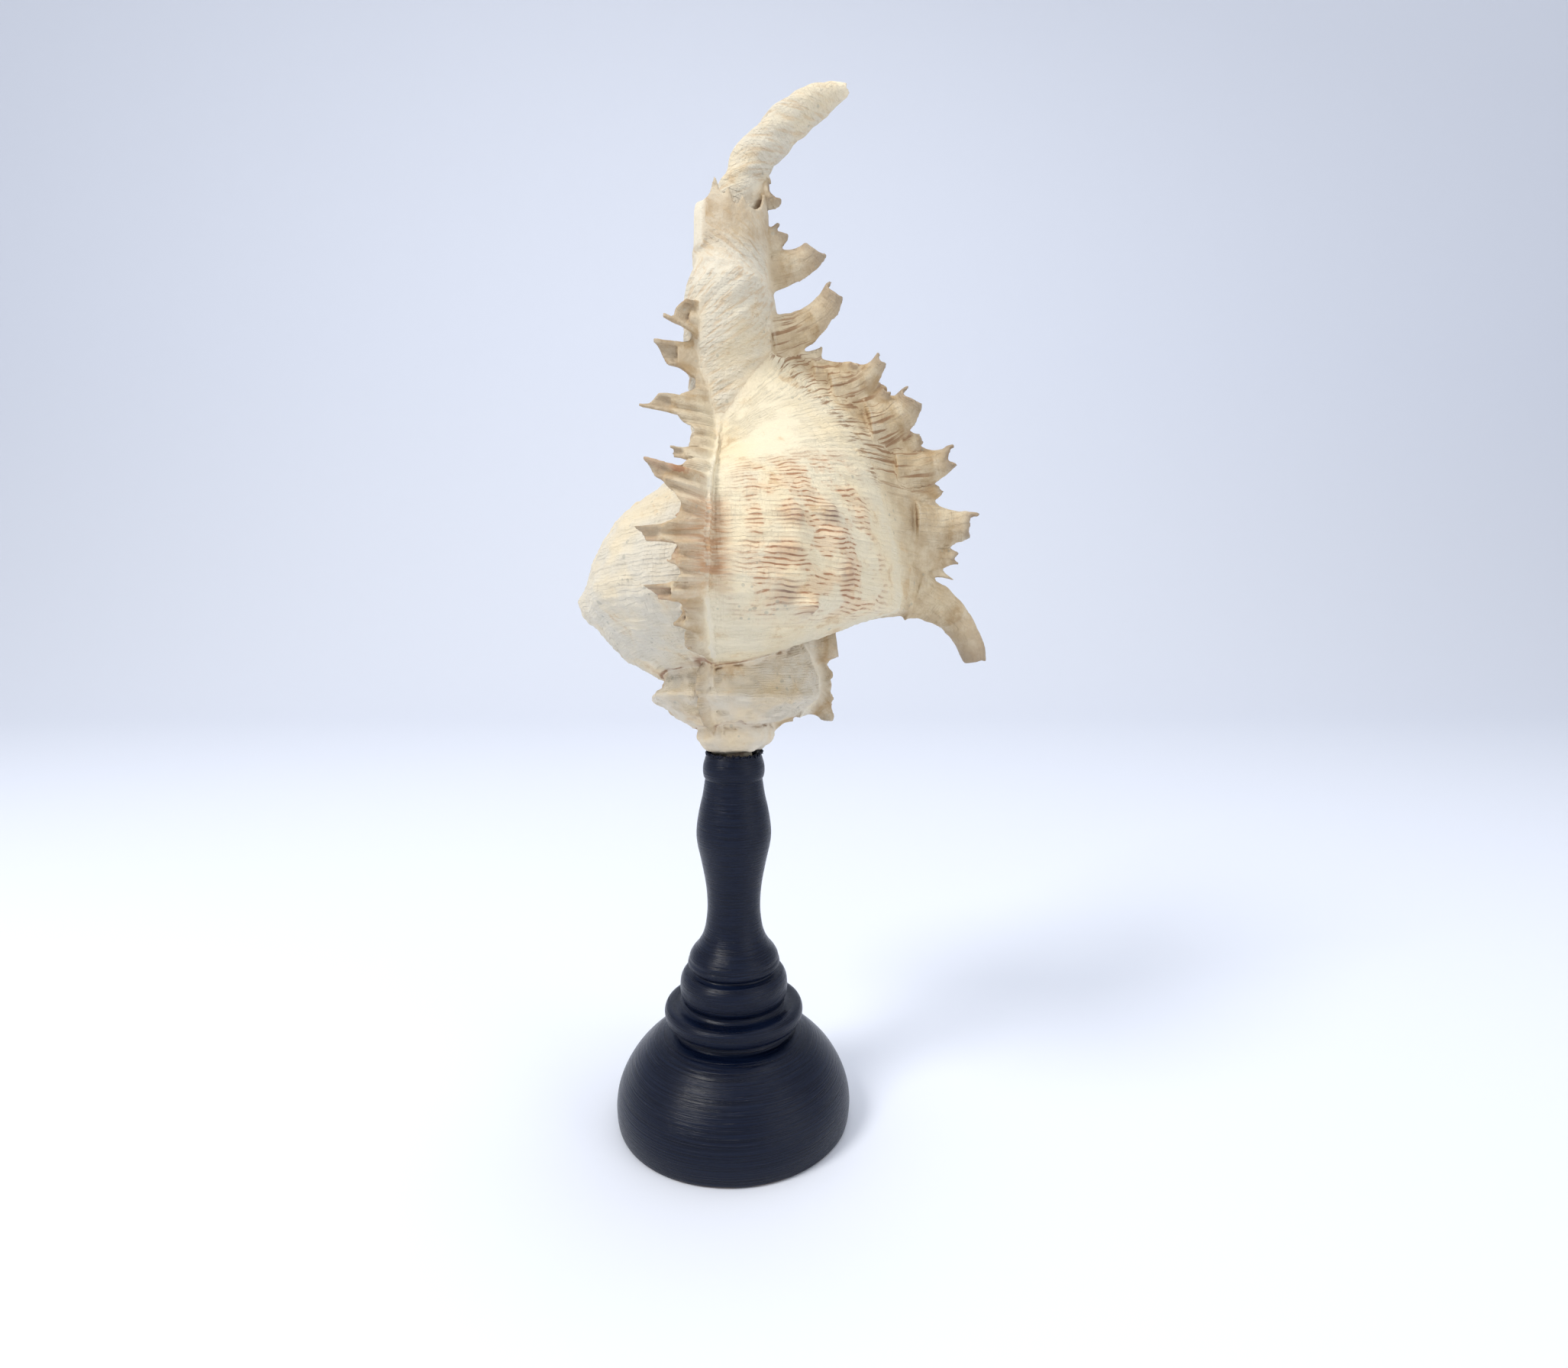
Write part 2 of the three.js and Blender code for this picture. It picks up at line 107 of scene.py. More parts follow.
# Swellings on the whorls: growth angle, thread, height, half widths in degrees and in millimetres
SWELLINGS = [
    [-74, 88, 1.9, 4.0, 13], [-59, 86, 1.6, 4.0, 13], [-45, 84, 0.7, 4, 12],
    [-74, 78.5, 2.4, 3.0, 2.6], [-77, 88.5, 1.9, 2.8, 2.0], [-71, 104, 6.6, 3.4, 3.0],
    [-60.5, 76, 1.9, 2.6, 2.6], [-60, 84, 1.3, 2.8, 2.4], [-57.5, 93, 1.6, 2.6, 2.8],
    [-600, 101, 8, 20, 4], [-560, 101, 10, 24, 4], [-510, 101, 9, 26, 4], [-455, 101, 7, 26, 4],
    [-410, 101, 5, 22, 4], [-178, 98, 2.6, 5.5, 5], [-150, 98, 2.2, 5.5, 5],
    [-285, 98, 2.6, 6, 6], [-320, 98, 2.4, 6, 6],
]

# Broad cords that run along the whorls
CORD_HEIGHT = 0.16
CORD_PITCH = 6.4

# Dark places on the ribs and knobs: growth angle, thread, half widths in degrees and in millimetres
CREST_SPOTS_AND_KNOB_SHADOW = [
    [-75, 78.5, 4.5, 3.6], [-78, 88.5, 4.5, 3.2], [-61, 78, 4.0, 5.0], [-58, 94, 3.4, 5.5],
    # the last spot, at -70 and thread 105, is painted shadow on the lower side of the large knob
    [-78, 100, 4.5, 3.6], [-70, 105, 3.0, 1.8],
]

# Fronds of each varix: height, reach outwards, up and back, half width at root and tip, fork of the tip
LIP_FRONDS = [
    [263, 4, 1.3, 2, 3.5, 2.5, 1.2], [251, 6, 3.5, 2, 3.2, 1.8, 1.2], [244, 14.2, 5.8, 3, 4.6, 2.3, 1.6],
    [228, 11.2, 11.6, 4, 4.6, 2.2, 1.8], [218, 5, 3, 2, 3, 0.9, 0.5], [214.5, 8, 8, 4, 4.2, 1.5, 1],
    [210.5, 5, 4, 3, 2.8, 1.2, 0.5], [205, 6.5, 8, 4, 5.6, 3, 2], [199, 5, 3, 3, 3, 1, 0.5],
    [193.5, 10.5, 3.5, 4, 4.6, 2.1, 1.2], [186.5, 5, 1.8, 2, 2.4, 0.9, 0.3], [177.5, 11, 0, 4, 5.6, 2.4, 0.8],
    [169, 5.5, -0.8, 3, 3, 1.2, 0.4], [159, 12.5, -21, 4, 5.2, 2.5, 0.4],
]
LEFT_FRONDS = [
    [227.5, 7.5, 4, 9.5, 4.2, 3, 0.8], [218.5, 6, 2.5, 14, 4.6, 2.6, 0.8],
    [205.5, 5.5, 2.5, 16.5, 4.4, 1.8, 0.8], [192, 3, 1, 8.5, 1.8, 1.2, 0.4],
    [188.5, 3, -0.5, 7.5, 1.6, 1, 0.4], [182.5, 4, 5.5, 12.5, 4.4, 1.6, 1],
    [178, 3.5, 0, 5, 1.8, 1.2, 0.4], [173.5, 5, -1, 13.5, 2.6, 1.5, 0.8],
    [167, 3.5, 1, 6, 2.6, 1.8, 0.5], [159.5, 4, 0, 11, 3, 1.5, 0.5], [153, 2.5, 1, 6, 3, 2.4, 0.5],
]
BACK_FRONDS = [
    [190, 3.5, 3, 7, 2.4, 1.8, 0.8], [182, 4, 1.5, 10, 2.6, 1.6, 0.8], [173, 4, 1.5, 11, 2.8, 1.5, 0.8],
    [165, 3, 0.5, 6, 1.8, 1, 0.4], [157, 4, 0.5, 10, 2.4, 1.3, 0.6], [149, 3, 0, 6, 2, 1.2, 0.4],
    [141, 6, -3, 5, 2.8, 1.4, 0.4],
]
SPIRE_FRONDS = {
    -356: [[143.5, 8.6, 0.5, 1, 3.6, 3.4, 0.4], [127.5, 3, -7.5, 2, 3.4, 1.4, 0.8]],
    -576: [[131, 3, 0.5, 1, 3, 2, 0.4], [122.5, 4.8, -1.5, 1, 3.2, 2.8, 0.4]],
    -716: [[121, 4.5, -1, 1, 2.2, 1, 0.4]],
}
VARIX_FRONDS = {0: LIP_FRONDS, -101: LEFT_FRONDS, -221: BACK_FRONDS, **SPIRE_FRONDS}

# Frilled sheet along each varix: lowest and highest point, reach, lean back, depth and pitch of its folds,
# and how widely each frond draws it out
FRILLS = {
    0: [163, 224, 1.6, 1.5, 0.45, 6.5, 1.0],
    -101: [141, 233, 3.6, 5.0, 1.6, 3.9, 1.35],
    -221: [137, 196, 2.6, 4.0, 0.8, 5.0, 1.3],
    -356: [122, 148, 2.4, 1.2, 0.5, 5.0, 1.0],
    -466: [118, 143, 2.2, 2.6, 0.7, 4.0, 1.0],
    -576: [117, 136, 2.4, 1.5, 0.5, 4.0, 1.0],
    -716: [113, 124, 1.8, 0.8, 0.3, 3.0, 1.0],
}
FRILL_WALL = 1.15
FRILL_ROWS_PER_MM = 3
FRILL_COLUMNS = 22
FROND_SETBACK = 3.0
FROND_BURIED = 6.0
FROND_DEPTH = 0.8
FROND_WALL = 1.15
FROND_STATIONS = 30
FROND_ARC = 21

# Trough of a frond: half angle at root and tip, web at the root, flare of the tip, slant of its end
LIP_TROUGH = [70.0, 100.0, 2.2, 1.5, 0.16]
LEFT_TROUGH = [75.0, 104.0, 2.5, 1.15, 0.55]
OLDER_TROUGH = [70.0, 105.0, 1.5, 1.4, 0.2]
TROUGHS = {0: LIP_TROUGH, -101: LEFT_TROUGH}

# Canal: x, y, z and radius along its centre line
CANAL_LINE = [
    [-2, -2, 166, 2.5], [-2.6, -1, 178, 5.5], [-3, 0, 190, 8], [-2.4, 0, 213, 9.5], [-1.6, 0, 226, 11.8],
    [-1.6, 0, 238, 11.8], [-1.2, 0, 248, 8.8], [-0.4, 0, 256, 6.9], [1.5, 0, 263.4, 5.8],
    [5.6, -0.5, 272.2, 5.3], [13.2, -1.5, 280.4, 5.2], [22.2, -2.5, 286.6, 4.2], [30.6, -3.5, 289.4, 1.2],
]
CANAL_STATIONS = 150
CANAL_SIDES = 56
CANAL_SLIT_START = (15.0, 4.0, 214.0)
CANAL_SLIT_RADIUS = 1.3

# Ragged end of the older canal, and the small tube at its left. Spikes: azimuth, height, half width.
# Wall, up the outside and down the inside: share of the height, inset
COLLAR_BASE_Z = 238.0
COLLAR_RIM_Z = 257.0
COLLAR_X = -0.6
COLLAR_SPIKES = [[100, 4, 16], [244, 8.0, 10], [266, 4.6, 6], [288, 3.6, 6], [335, 5.5, 9], [20, 2.0, 20]]
COLLAR_BASE_RADIUS = 10.4
COLLAR_TOP_RADIUS = 10.0
COLLAR_BORE = 5.0
COLLAR_WALL = [[0, 0], [0.25, 0], [0.5, 0], [0.75, 0], [1, 0.1], [1, 0.9], [0.85, 1.2], [0.66, 1.8]]
OLD_TUBE = {"x": -7.4, "y": -4.8, "low": 249.0, "high": 259.2, "radius": 2.3, "wall": 0.75}

# Aperture in the plane of the lip: radius, rise
APERTURE_OUTLINE = [
    [14.5, 36], [15.5, 48], [18.5, 55], [24, 53], [32, 45], [38.5, 35], [43, 24], [46, 12],
    [46, 3], [40, -1], [32, 1], [25, 8], [19, 16], [15.5, 26],
]
APERTURE_CENTRE = (29.0, 26.0)
CAVITY_ANGLE = 100.0
CAVITY_END_SIZE = 0.4
APERTURE_RIM = 1.7

# Relief of the surface: growth lines, fine threads, and the canal's wrinkles and the worn lumps, each
# of them small and large
GROWTH_LINE_HEIGHT = 0.17
THREAD_HEIGHT = 0.10
THREAD_PITCH = 2.1
WRINKLE_HEIGHTS = (0.62, 0.5)
LUMP_HEIGHTS = (0.13, 0.26)

# How far above the surface crevices are felt, how deep sharp edges are, and the least wall for relief
CREVICE_NEAR = 1.5
CREVICE_FAR = 4.0
EDGE_DEPTH = 1.4
RELIEF_WALL = 1.6

# Seat of the spire in the stand
STAND_TOP_Z = 112.1
SOCKET_TOP_RADIUS = 7.0
SOCKET_FLOOR_RADIUS = 5.6
SOCKET_DEPTH = 8.8
SOCKET_FLOOR_Z = STAND_TOP_Z - SOCKET_DEPTH
FIT_GAP = 0.3

# Room that the shell leaves for the stand, above the seat: radius, height
STAND_ROOM = [[0.01, 80], [44, 80], [44, 120.6], [14.6, 120.6], [12.2, 118.4], [9.8, 114.6], [8.4, 112.8]]

# Stand profile in stretches that each run smoothly: radius, height
STAND_STRETCHES = [
    [[0, 0], [12, 0], [24, 0], [33.8, 0]],
    [[33.8, 0], [34.6, 0.7], [35.1, 3.5], [35.1, 7], [34.3, 11], [32.4, 15.4], [29.2, 20.2],
     [24.6, 24.8], [20.4, 27.1], [17.6, 28.1]],
    [[17.6, 28.1], [17.0, 29.0], [17.3, 30.4], [18.8, 30.9]],
    [[18.8, 30.9], [20.0, 31.5], [20.6, 33.0], [20.6, 34.6], [19.9, 35.9], [18.4, 36.3]],
    [[18.4, 36.3], [16.4, 36.1], [15.2, 36.7], [15.0, 37.7]],
    [[15.0, 37.7], [15.8, 39.2], [16.0, 41.6], [15.7, 44.2], [14.7, 46.0], [13.4, 46.6]],
    [[13.4, 46.6], [12.7, 46.9], [12.8, 47.5]],
    [[12.8, 47.5], [13.6, 48.2], [13.6, 49.3], [13.2, 50.0]],
    [[13.2, 50.0], [13.1, 51.0], [12.2, 52.6], [10.6, 54.6], [9.2, 57.2], [8.3, 60.6], [7.8, 66],
     [8.2, 72.4], [9.4, 79.2], [10.7, 85.4], [10.9, 89.4], [10.2, 94.6], [9.1, 99.6], [8.5, 103.4],
     [8.3, 104.6]],
    [[8.3, 104.6], [8.7, 105.2], [8.95, 106.6], [8.85, 108.6], [8.3, 110.6], [7.8, 112.1]],
    [[7.8, 112.1], [7.4, 112.1], [7.0, 112.1]],
    [[7.0, 112.1], [5.6, 103.3], [3.0, 103.3], [0, 103.3]],
]
STAND_SIDES = 160
STAND_STEP = 0.55

# Crumbs of paint and glue round the seat
SEAT_RING = 7.75
CRUMB_SIZE = 0.5
CRUMB_COUNT = 120
CRUMB_SEED = 7

# Large odd numbers that scatter the random values over space
SCATTER = (73856093, 19349663, 83492791)
SCATTER_AGAIN = 1274126177


def smooth(value, low, high):
    share = np.clip((np.asarray(value, float) - low) / (high - low), 0.0, 1.0)
    return share * share * (3.0 - 2.0 * share)


def mix(a, b, share):
    return a + (b - a) * share


def unit(vectors):
    length = np.linalg.norm(vectors, axis=-1, keepdims=True)
    return vectors / np.maximum(length, 1e-12)


def triple(a, b, c):
    """Three values side by side, each one number or a grid of them."""
    return np.stack(np.broadcast_arrays(a, b, c), -1)


def round_axis(radius, azimuth, z, centre_x=0.0):
    """Points at a radius and azimuth round an upright axis."""
    return triple(centre_x + radius * np.cos(azimuth), radius * np.sin(azimuth), z)


def through_points(rows, count):
    """A smooth curve of count rows through the rows of a table."""
    rows = np.asarray(rows, float)
    place = np.linspace(0, len(rows) - 1, count)
    first = np.minimum(place.astype(int), len(rows) - 2)
    t = (place - first)[:, None]
    ends = np.vstack([2 * rows[0] - rows[1], rows, 2 * rows[-1] - rows[-2]])
    p0, p1, p2, p3 = (ends[first + k] for k in range(4))
    bend = 2 * p0 - 5 * p1 + 4 * p2 - p3
    turn = 3 * p1 - p0 - 3 * p2 + p3
    return 0.5 * (2 * p1 + (p2 - p0) * t + bend * t**2 + turn * t**3)


def bumpy(points, size, seed):
    """Smooth random values from -1 to 1 over space, with lumps of about that size."""
    place = np.asarray(points, float) / size + seed * 17.31
    cell = np.floor(place).astype(np.int64)
    share = place - cell
    share = share * share * (3.0 - 2.0 * share)
    total = np.zeros(place.shape[:-1])
    for corner in np.ndindex(2, 2, 2):
        key = cell + np.array(corner)
        code = key[..., 0] * SCATTER[0] ^ key[..., 1] * SCATTER[1] ^ key[..., 2] * SCATTER[2]
        code = (code ^ (code >> 13)) * SCATTER_AGAIN
        value = ((code >> 8) & 0xFFFF) / 32767.5 - 1.0
        weight = np.prod(np.where(corner, share, 1.0 - share), axis=-1)
        total += value * weight
    return total


def coil_size(growth):
    """Size of the coil at a growth angle, one at the lip."""
    return GROWTH_PER_TURN ** (np.asarray(growth, float) / 360.0)


def coil_directions(growth):
    """Directions out from the axis and along the coil."""
    azimuth = np.radians(LIP_AZIMUTH + np.asarray(growth, float))
    out = triple(np.cos(azimuth), np.sin(azimuth), 0.0)
    along = triple(-np.sin(azimuth), np.cos(azimuth), 0.0)
    return out, along


def coil_point(growth, radius, rise, extra=0.0):
    """A point of the coil from its growth angle and its radius and rise at lip size."""
    size = coil_size(growth)
    out, _ = coil_directions(growth)
    reach = radius * size + extra
    x = COIL_OFFSET_X * np.sqrt(size) + out[..., 0] * reach
    y = out[..., 1] * reach
    lean = 1.0 - smooth(rise, 40, 90)
    z = APEX_Z + (LIP_SHOULDER_RISE + rise) * size - lean * (LEAN_X * x + LEAN_Y * y)
    return triple(x, y, z)


EARLY_CURVE = through_points(EARLY_OUTLINE, OUTLINE_POINTS)
LATE_CURVE = through_points(LATE_OUTLINE, OUTLINE_POINTS)
STEP_LENGTHS = np.hypot(np.diff(LATE_CURVE[:, 0]), np.diff(LATE_CURVE[:, 1]))
THREADS = np.concatenate([[0.0], np.cumsum(STEP_LENGTHS)])


def swelling(growth, thread):
    """Ribs, knobs and broad spiral cords that stand out of the whorls, at lip size."""
    total = CORD_HEIGHT * np.cos(2 * np.pi * thread / CORD_PITCH) * smooth(thread, 30, 50)
    for angle, place, height, wide, high in SWELLINGS:
        total = total + height * np.exp(-((growth - angle) / wide) ** 2 - ((thread - place) / high) ** 2)
    return total


def ruffle(thread, seed):
    """Uneven waves of a flange's edge along the threads."""
    place = triple(thread, seed, 0.0)
    return 0.6 * bumpy(place, 5.5, seed) + 0.4 * bumpy(place, 2.4, seed + 3)


class Solid:
    """Closed triangles, with the marks that the finish reads: along, thread, frond, hollow, canal, mouth."""

    def __init__(self, points, triangles, marks, skin=None):
        self.points = np.asarray(points, float)
        self.triangles = np.asarray(triangles, np.int64)
        self.marks = np.asarray(marks, float)
        self.skin = self.triangles if skin is None else np.asarray(skin, np.int64)


def marks_of(shape, along=0.0, thread=0.0, frond=0.0, hollow=0.0, canal=0.0, mouth=0.0):
    """Marks for a grid of points: place along the coil and across the threads, and kind of surface."""
    values = [np.broadcast_to(v, shape).ravel() for v in (along, thread, frond, hollow, canal, mouth)]
    return np.stack(values, -1)


def strips(rows, columns, start=0, wrap=False):
    """Triangles over a grid of points."""
    i, j = np.meshgrid(np.arange(rows - 1), np.arange(columns if wrap else columns - 1), indexing="ij")
    k = (j + 1) % columns
    a = start + i * columns + j
    b = start + i * columns + k
    c = a + columns
    d = b + columns
    return np.concatenate([np.stack([a, b, d], -1).reshape(-1, 3), np.stack([a, d, c], -1).reshape(-1, 3)])


def fan(centre, ring, closed=True):
    """Triangles from one point to a row of points."""
    ring = np.asarray(ring)
    after = np.roll(ring, -1)
    triangles = np.stack([np.full(len(ring), centre), ring, after], -1)
    return triangles if closed else triangles[:-1]


def loft(rings, marks, wrap=False):
    """A solid through closed rings: with flat ends, or closed on itself."""
    rings = np.asarray(rings, float)
    rows, sides = rings.shape[:2]
    if wrap:
        triangles = strips(rows + 1, sides, wrap=True) % (rows * sides)
        return Solid(rings.reshape(-1, 3), triangles, marks)
    points = np.concatenate([rings.reshape(-1, 3), [rings[0].mean(0), rings[-1].mean(0)]])
    marks = np.concatenate([marks, marks[:1], marks[-1:]])
    body = strips(rows, sides, wrap=True)
    start = fan(rows * sides, np.arange(sides))[:, ::-1]
    end = fan(rows * sides + 1, np.arange(sides) + (rows - 1) * sides)
    return Solid(points, np.concatenate([body, start, end]), marks, body)


def sheet_solid(outer, inner, outer_marks, inner_marks):
    """A thick sheet between two grids of points."""
    rows, columns = outer.shape[:2]
    count = rows * columns
    points = np.concatenate([outer.reshape(-1, 3), inner.reshape(-1, 3)])
    front = strips(rows, columns)
    back = strips(rows, columns, count)[:, ::-1]
    edge = np.concatenate([
        np.arange(columns), np.arange(1, rows) * columns + columns - 1,
        (rows - 1) * columns + np.arange(columns - 2, -1, -1), np.arange(rows - 2, 0, -1) * columns,
    ])
    after = np.roll(edge, -1)
    walls = np.concatenate([
        np.stack([edge, edge + count, after + count], -1), np.stack([edge, after + count, after], -1),
    ])
    return Solid(points, np.concatenate([front, back, walls]), np.concatenate([outer_marks, inner_marks]))


def round_rings(path, side, front, radii, sides):
    """Rings of points round a path."""
    angle = 2 * np.pi * np.arange(sides) / sides
    around = side[:, None] * np.cos(angle)[None, :, None] + front[:, None] * np.sin(angle)[None, :, None]
    return path[:, None] + around * radii[:, None, None]


def tube_solid(path, radii, sides=20, wrap=False, **marks):
    """A round bar along a path."""
    path = np.asarray(path, float)
    ahead = unit(np.gradient(path, axis=0))
    if wrap:
        ahead = unit(np.roll(path, -1, 0) - np.roll(path, 1, 0))
    side = unit(np.cross(ahead, np.array([0.0, 1.0, 0.02])))
    front = np.cross(side, ahead)
    rings = round_rings(path, side, front, np.broadcast_to(radii, len(path)), sides)
    return loft(rings, marks_of(rings.shape[:2], **marks), wrap)


def outline_at(growth):
    """The whorl's outline, which changes a little over the last third of a turn."""
    late = float(smooth(growth, VARIX_ANGLES[1], 0))
    return mix(EARLY_CURVE, LATE_CURVE, late)


def stage_rings(growths, last):
    """The whorl's outline at each growth angle, with ribs, cords and the flange of its varix."""
    rings = []
    start = last - FLANGE_ANGLE
    for growth in growths:
        radius, rise, flange = outline_at(growth).T
        size = float(coil_size(growth))
        height = 1.0 if growth > VARIX_ANGLES[1] else EARLY_FLANGE * size
        share = float(np.clip((growth - start) / FLANGE_ANGLE, 0.0, 1.0))
        grown = share**FLANGE_CURVE
        wavy = 1.0 + FLANGE_RUFFLE * share * ruffle(THREADS, 2 + last % 7)
        edge = flange * height * grown * wavy
        relief = swelling(growth, THREADS) * size * (1.0 - share)
        slip = EDGE_WANDER * share**3 * ruffle(THREADS, 5 + last % 5)
        rings.append(coil_point(growth + slip, radius, rise, edge + relief))
    return np.array(rings)


def stage_solid(first, last):
    """One growth stage, a wedge of the coil from the axis out to the whorl's outline."""
    count = int(max(60, 170 * coil_size(last)))
    growths = np.linspace(first - STAGE_OVERLAP, last, count)
    rings = stage_rings(growths, last)
    middle = (growths[0] + growths[-1]) / 2
    outline = outline_at(middle)
    top = coil_point(middle, 0.0, outline[0, 1] + 2)
    bottom = coil_point(middle, 0.0, outline[-1, 1] - 3)
    caps = [coil_point(growth, *WEDGE_CENTRE) for growth in (growths[0], growths[-1])]
    sides = OUTLINE_POINTS
    total = count * sides
    points = np.concatenate([rings.reshape(-1, 3), [top, bottom], caps])
    skin = strips(count, sides)
    top_edge = np.arange(count) * sides
    bottom_edge = top_edge + sides - 1
    pole = fan(total, top_edge, closed=False)[:, ::-1]
    foot = fan(total + 1, bottom_edge, closed=False)
    start_ring = np.concatenate([[total], np.arange(sides), [total + 1]])
    end_ring = np.concatenate([[total], np.arange(sides) + total - sides, [total + 1]])
    start = fan(total + 2, start_ring)[:, ::-1]
    end = fan(total + 3, end_ring)
    shape = (count, sides)
    marks = marks_of(shape, along=growths[:, None] * MM_PER_DEGREE, thread=THREADS[None, :])
    extra = marks_of((4,), along=growths[-1] * MM_PER_DEGREE, thread=60.0)
    return Solid(points, np.concatenate([skin, pole, foot, start, end]), np.concatenate([marks, extra]), skin)


def lip_points(varix, heights_wanted):
    """Points of a varix's edge at the heights, and their threads."""
    radius, rise, flange = outline_at(varix).T
    size = float(coil_size(varix))
    share = 1.0 if varix > VARIX_ANGLES[1] else EARLY_FLANGE * size
    ring = coil_point(np.full(OUTLINE_POINTS, float(varix)), radius, rise, flange * share)
    heights = ring[::-1, 2]
    points = np.stack([np.interp(heights_wanted, heights, ring[::-1, axis]) for axis in range(3)], -1)
    points[..., 2] = heights_wanted
    return points, np.interp(heights_wanted, heights, THREADS[::-1])


def frill_reach(varix, rows, heights):
    """How far the sheet stands out, leans back and lifts at each height, and where it fades out."""
    low, high, reach, back, _, _, spread = FRILLS[varix]
    ends = np.minimum(smooth(heights, low, low + 5), 1.0 - smooth(heights, high - 5, high))
    outward = reach * ends
    backward = back * ends
    lift = np.zeros_like(heights)
    for height, frond_out, frond_up, frond_back, half, _, _ in rows:
        near = np.exp(-np.abs((heights - height) / (spread * half)) ** 2.5)
        outward = np.maximum(outward, frond_out * 0.8 * near)
        backward = np.maximum(backward, frond_back * 0.66 * near)
        lift = lift + np.clip(frond_up, -6, 9) * 0.5 * near
    return outward, backward, lift, ends


def frill_solid(varix, rows, seed):
    """The thin folded sheet of a varix, drawn out where its fronds stand."""
    low, high, _, _, fold, pitch, _ = FRILLS[varix]
    heights = np.linspace(low, high, int((high - low) * FRILL_ROWS_PER_MM))
    edge, threads = lip_points(varix, heights)
    out, along = coil_directions(varix)
    outward, backward, lift, ends = frill_reach(varix, rows, heights)
    u = np.linspace(0.0, 1.0, FRILL_COLUMNS)[None, :]
    spot = triple(heights, seed, 0.0)
    uneven = (1.0 + 0.14 * bumpy(spot, 2.2, seed) + 0.08 * bumpy(spot, 1.1, seed + 1))[:, None]
    root = edge - along * 1.6 - out * 3.0
    far_out = (3.0 + outward[:, None] * uneven) * (1 - (1 - u) ** 1.7)
    far_back = backward[:, None] * uneven * u**1.7
    sheet = root[:, None] + out * far_out[..., None] - along * far_back[..., None]
    sheet = sheet + UP * (lift[:, None] * u**1.5)[..., None]
    tangent = unit(np.gradient(sheet, axis=1))
    normal = unit(np.cross(UP, tangent))
    phase = heights / pitch + 0.8 * bumpy(spot, 7.0, seed + 2)
    calm = 1.0 - 0.75 * smooth(heights, 203, 210)
    ridge = 2 * np.abs(np.sin(np.pi * phase)) - 1.2
    deep = fold * ends * calm * (1.0 + 0.6 * bumpy(spot, 5.0, seed + 4)) * ridge
    fold_depth = deep[:, None] * u**1.2
    sheet = sheet + normal * fold_depth[..., None]
    wall = normal * FRILL_WALL / 2
    thread_mark = np.broadcast_to(threads[:, None], sheet.shape[:2])
    marks = marks_of(sheet.shape[:2], varix * MM_PER_DEGREE + u * 6, thread_mark, frond=0.1 + 0.4 * u)
    return sheet_solid(sheet + wall, sheet - wall, marks, marks)


def frond_line(varix, row):
    """The middle line of a frond, from inside the shell to its tip, with its directions."""
    height, outward, up, back = row[:4]
    out, along = coil_directions(varix)
    root, thread = lip_points(varix, float(height))
    root = root - along * FROND_SETBACK / 2
    buried = root - out * FROND_BURIED * math.sqrt(coil_size(varix))
    bend = root + out * outward * 0.75 + UP * up * 0.25
    tip = root + out * outward + UP * up - along * back
    t = np.linspace(0.0, 1.0, FROND_STATIONS)[:, None]
    line = (1 - t) ** 2 * buried + 2 * t * (1 - t) * bend + t**2 * tip
    ahead = unit(2 * (1 - t) * (bend - buried) + 2 * t * (tip - bend))
    opening = unit(np.cross(UP, ahead))
    wide = unit(np.cross(ahead, opening))
    return thread, t, line, ahead, wide, opening


def frond_solid(varix, row, seed):
    """A frond: a trough that leaves the varix outwards and bends back over the older shell."""
    half, tip_half, fork = row[4:]
    root_angle, tip_angle, web_size, flare, slant_size = TROUGHS.get(varix, OLDER_TROUGH)
    thread, t, line, ahead, wide, opening = frond_line(varix, row)
    length = float(np.linalg.norm(np.diff(line, axis=0), axis=1).sum())
    reach = mix(half * 1.15, tip_half * flare, np.sqrt(t)) + 0.15 * half * (1 - t) ** 3
    across = np.linspace(-1.0, 1.0, FROND_ARC)[None, :]
    angle = np.radians(mix(root_angle, tip_angle, smooth(t, 0.2, 0.9))) * across
    web = web_size * np.minimum(half / 3.5, 1.3) * (1 - t) ** 1.6 * np.clip(-across, 0, 1)
    waves = triple(t * length, across * 2.6, float(seed))
    uneven = 1.0 + 0.09 * bumpy(waves, 3.0, seed) + 0.06 * bumpy(waves, 1.3, seed + 1)
    slant = slant_size * half * (1 if seed % 2 else -1) * across
    uneven_end = 0.4 * fork * across**2 + 0.9 * bumpy(waves[-1:], 1.4, seed + 2) + slant
    ragged = smooth(t, 0.6, 1.0) * uneven_end
    sideways = np.sin(angle) * reach * uneven - web
    depth = -np.cos(angle) * reach * FROND_DEPTH * uneven
    wall = np.minimum(FROND_WALL, 0.42 * reach)
    fill = 1.0 - smooth(t, 0.34, 0.62)
    inner_side = mix(sideways * (1 - wall / reach), sideways * 0.985, fill)
    inner_depth = mix(depth * (1 - wall / (reach * FROND_DEPTH)), 0.12 * reach * (1 - across**2), fill)

    def place(side, deep):
        shifted = line[:, None] + wide[:, None] * side[..., None] + opening[:, None] * deep[..., None]
        return shifted + ahead[:, None] * ragged[..., None]

    spots = {"along": varix * MM_PER_DEGREE + t * length, "thread": thread - across * reach, "frond": t}
    hollow = smooth(t, 0.3, 0.6) * np.ones_like(across)
    outer_marks = marks_of(angle.shape, **spots)
    inner_marks = marks_of(angle.shape, hollow=hollow, **spots)
    return sheet_solid(place(sideways, depth), place(inner_side, inner_depth), outer_marks, inner_marks)


def canal_frame():
    """Centre, radius and sideways directions along the canal."""
    line = through_points(CANAL_LINE, CANAL_STATIONS)
    centre, radius = line[:, :3], line[:, 3]
    along = unit(np.gradient(centre, axis=0))
    side = unit(np.cross(along, np.array([0.0, 1.0, 0.0])))
    front = unit(np.cross(side, along))
    return centre, radius, side, front


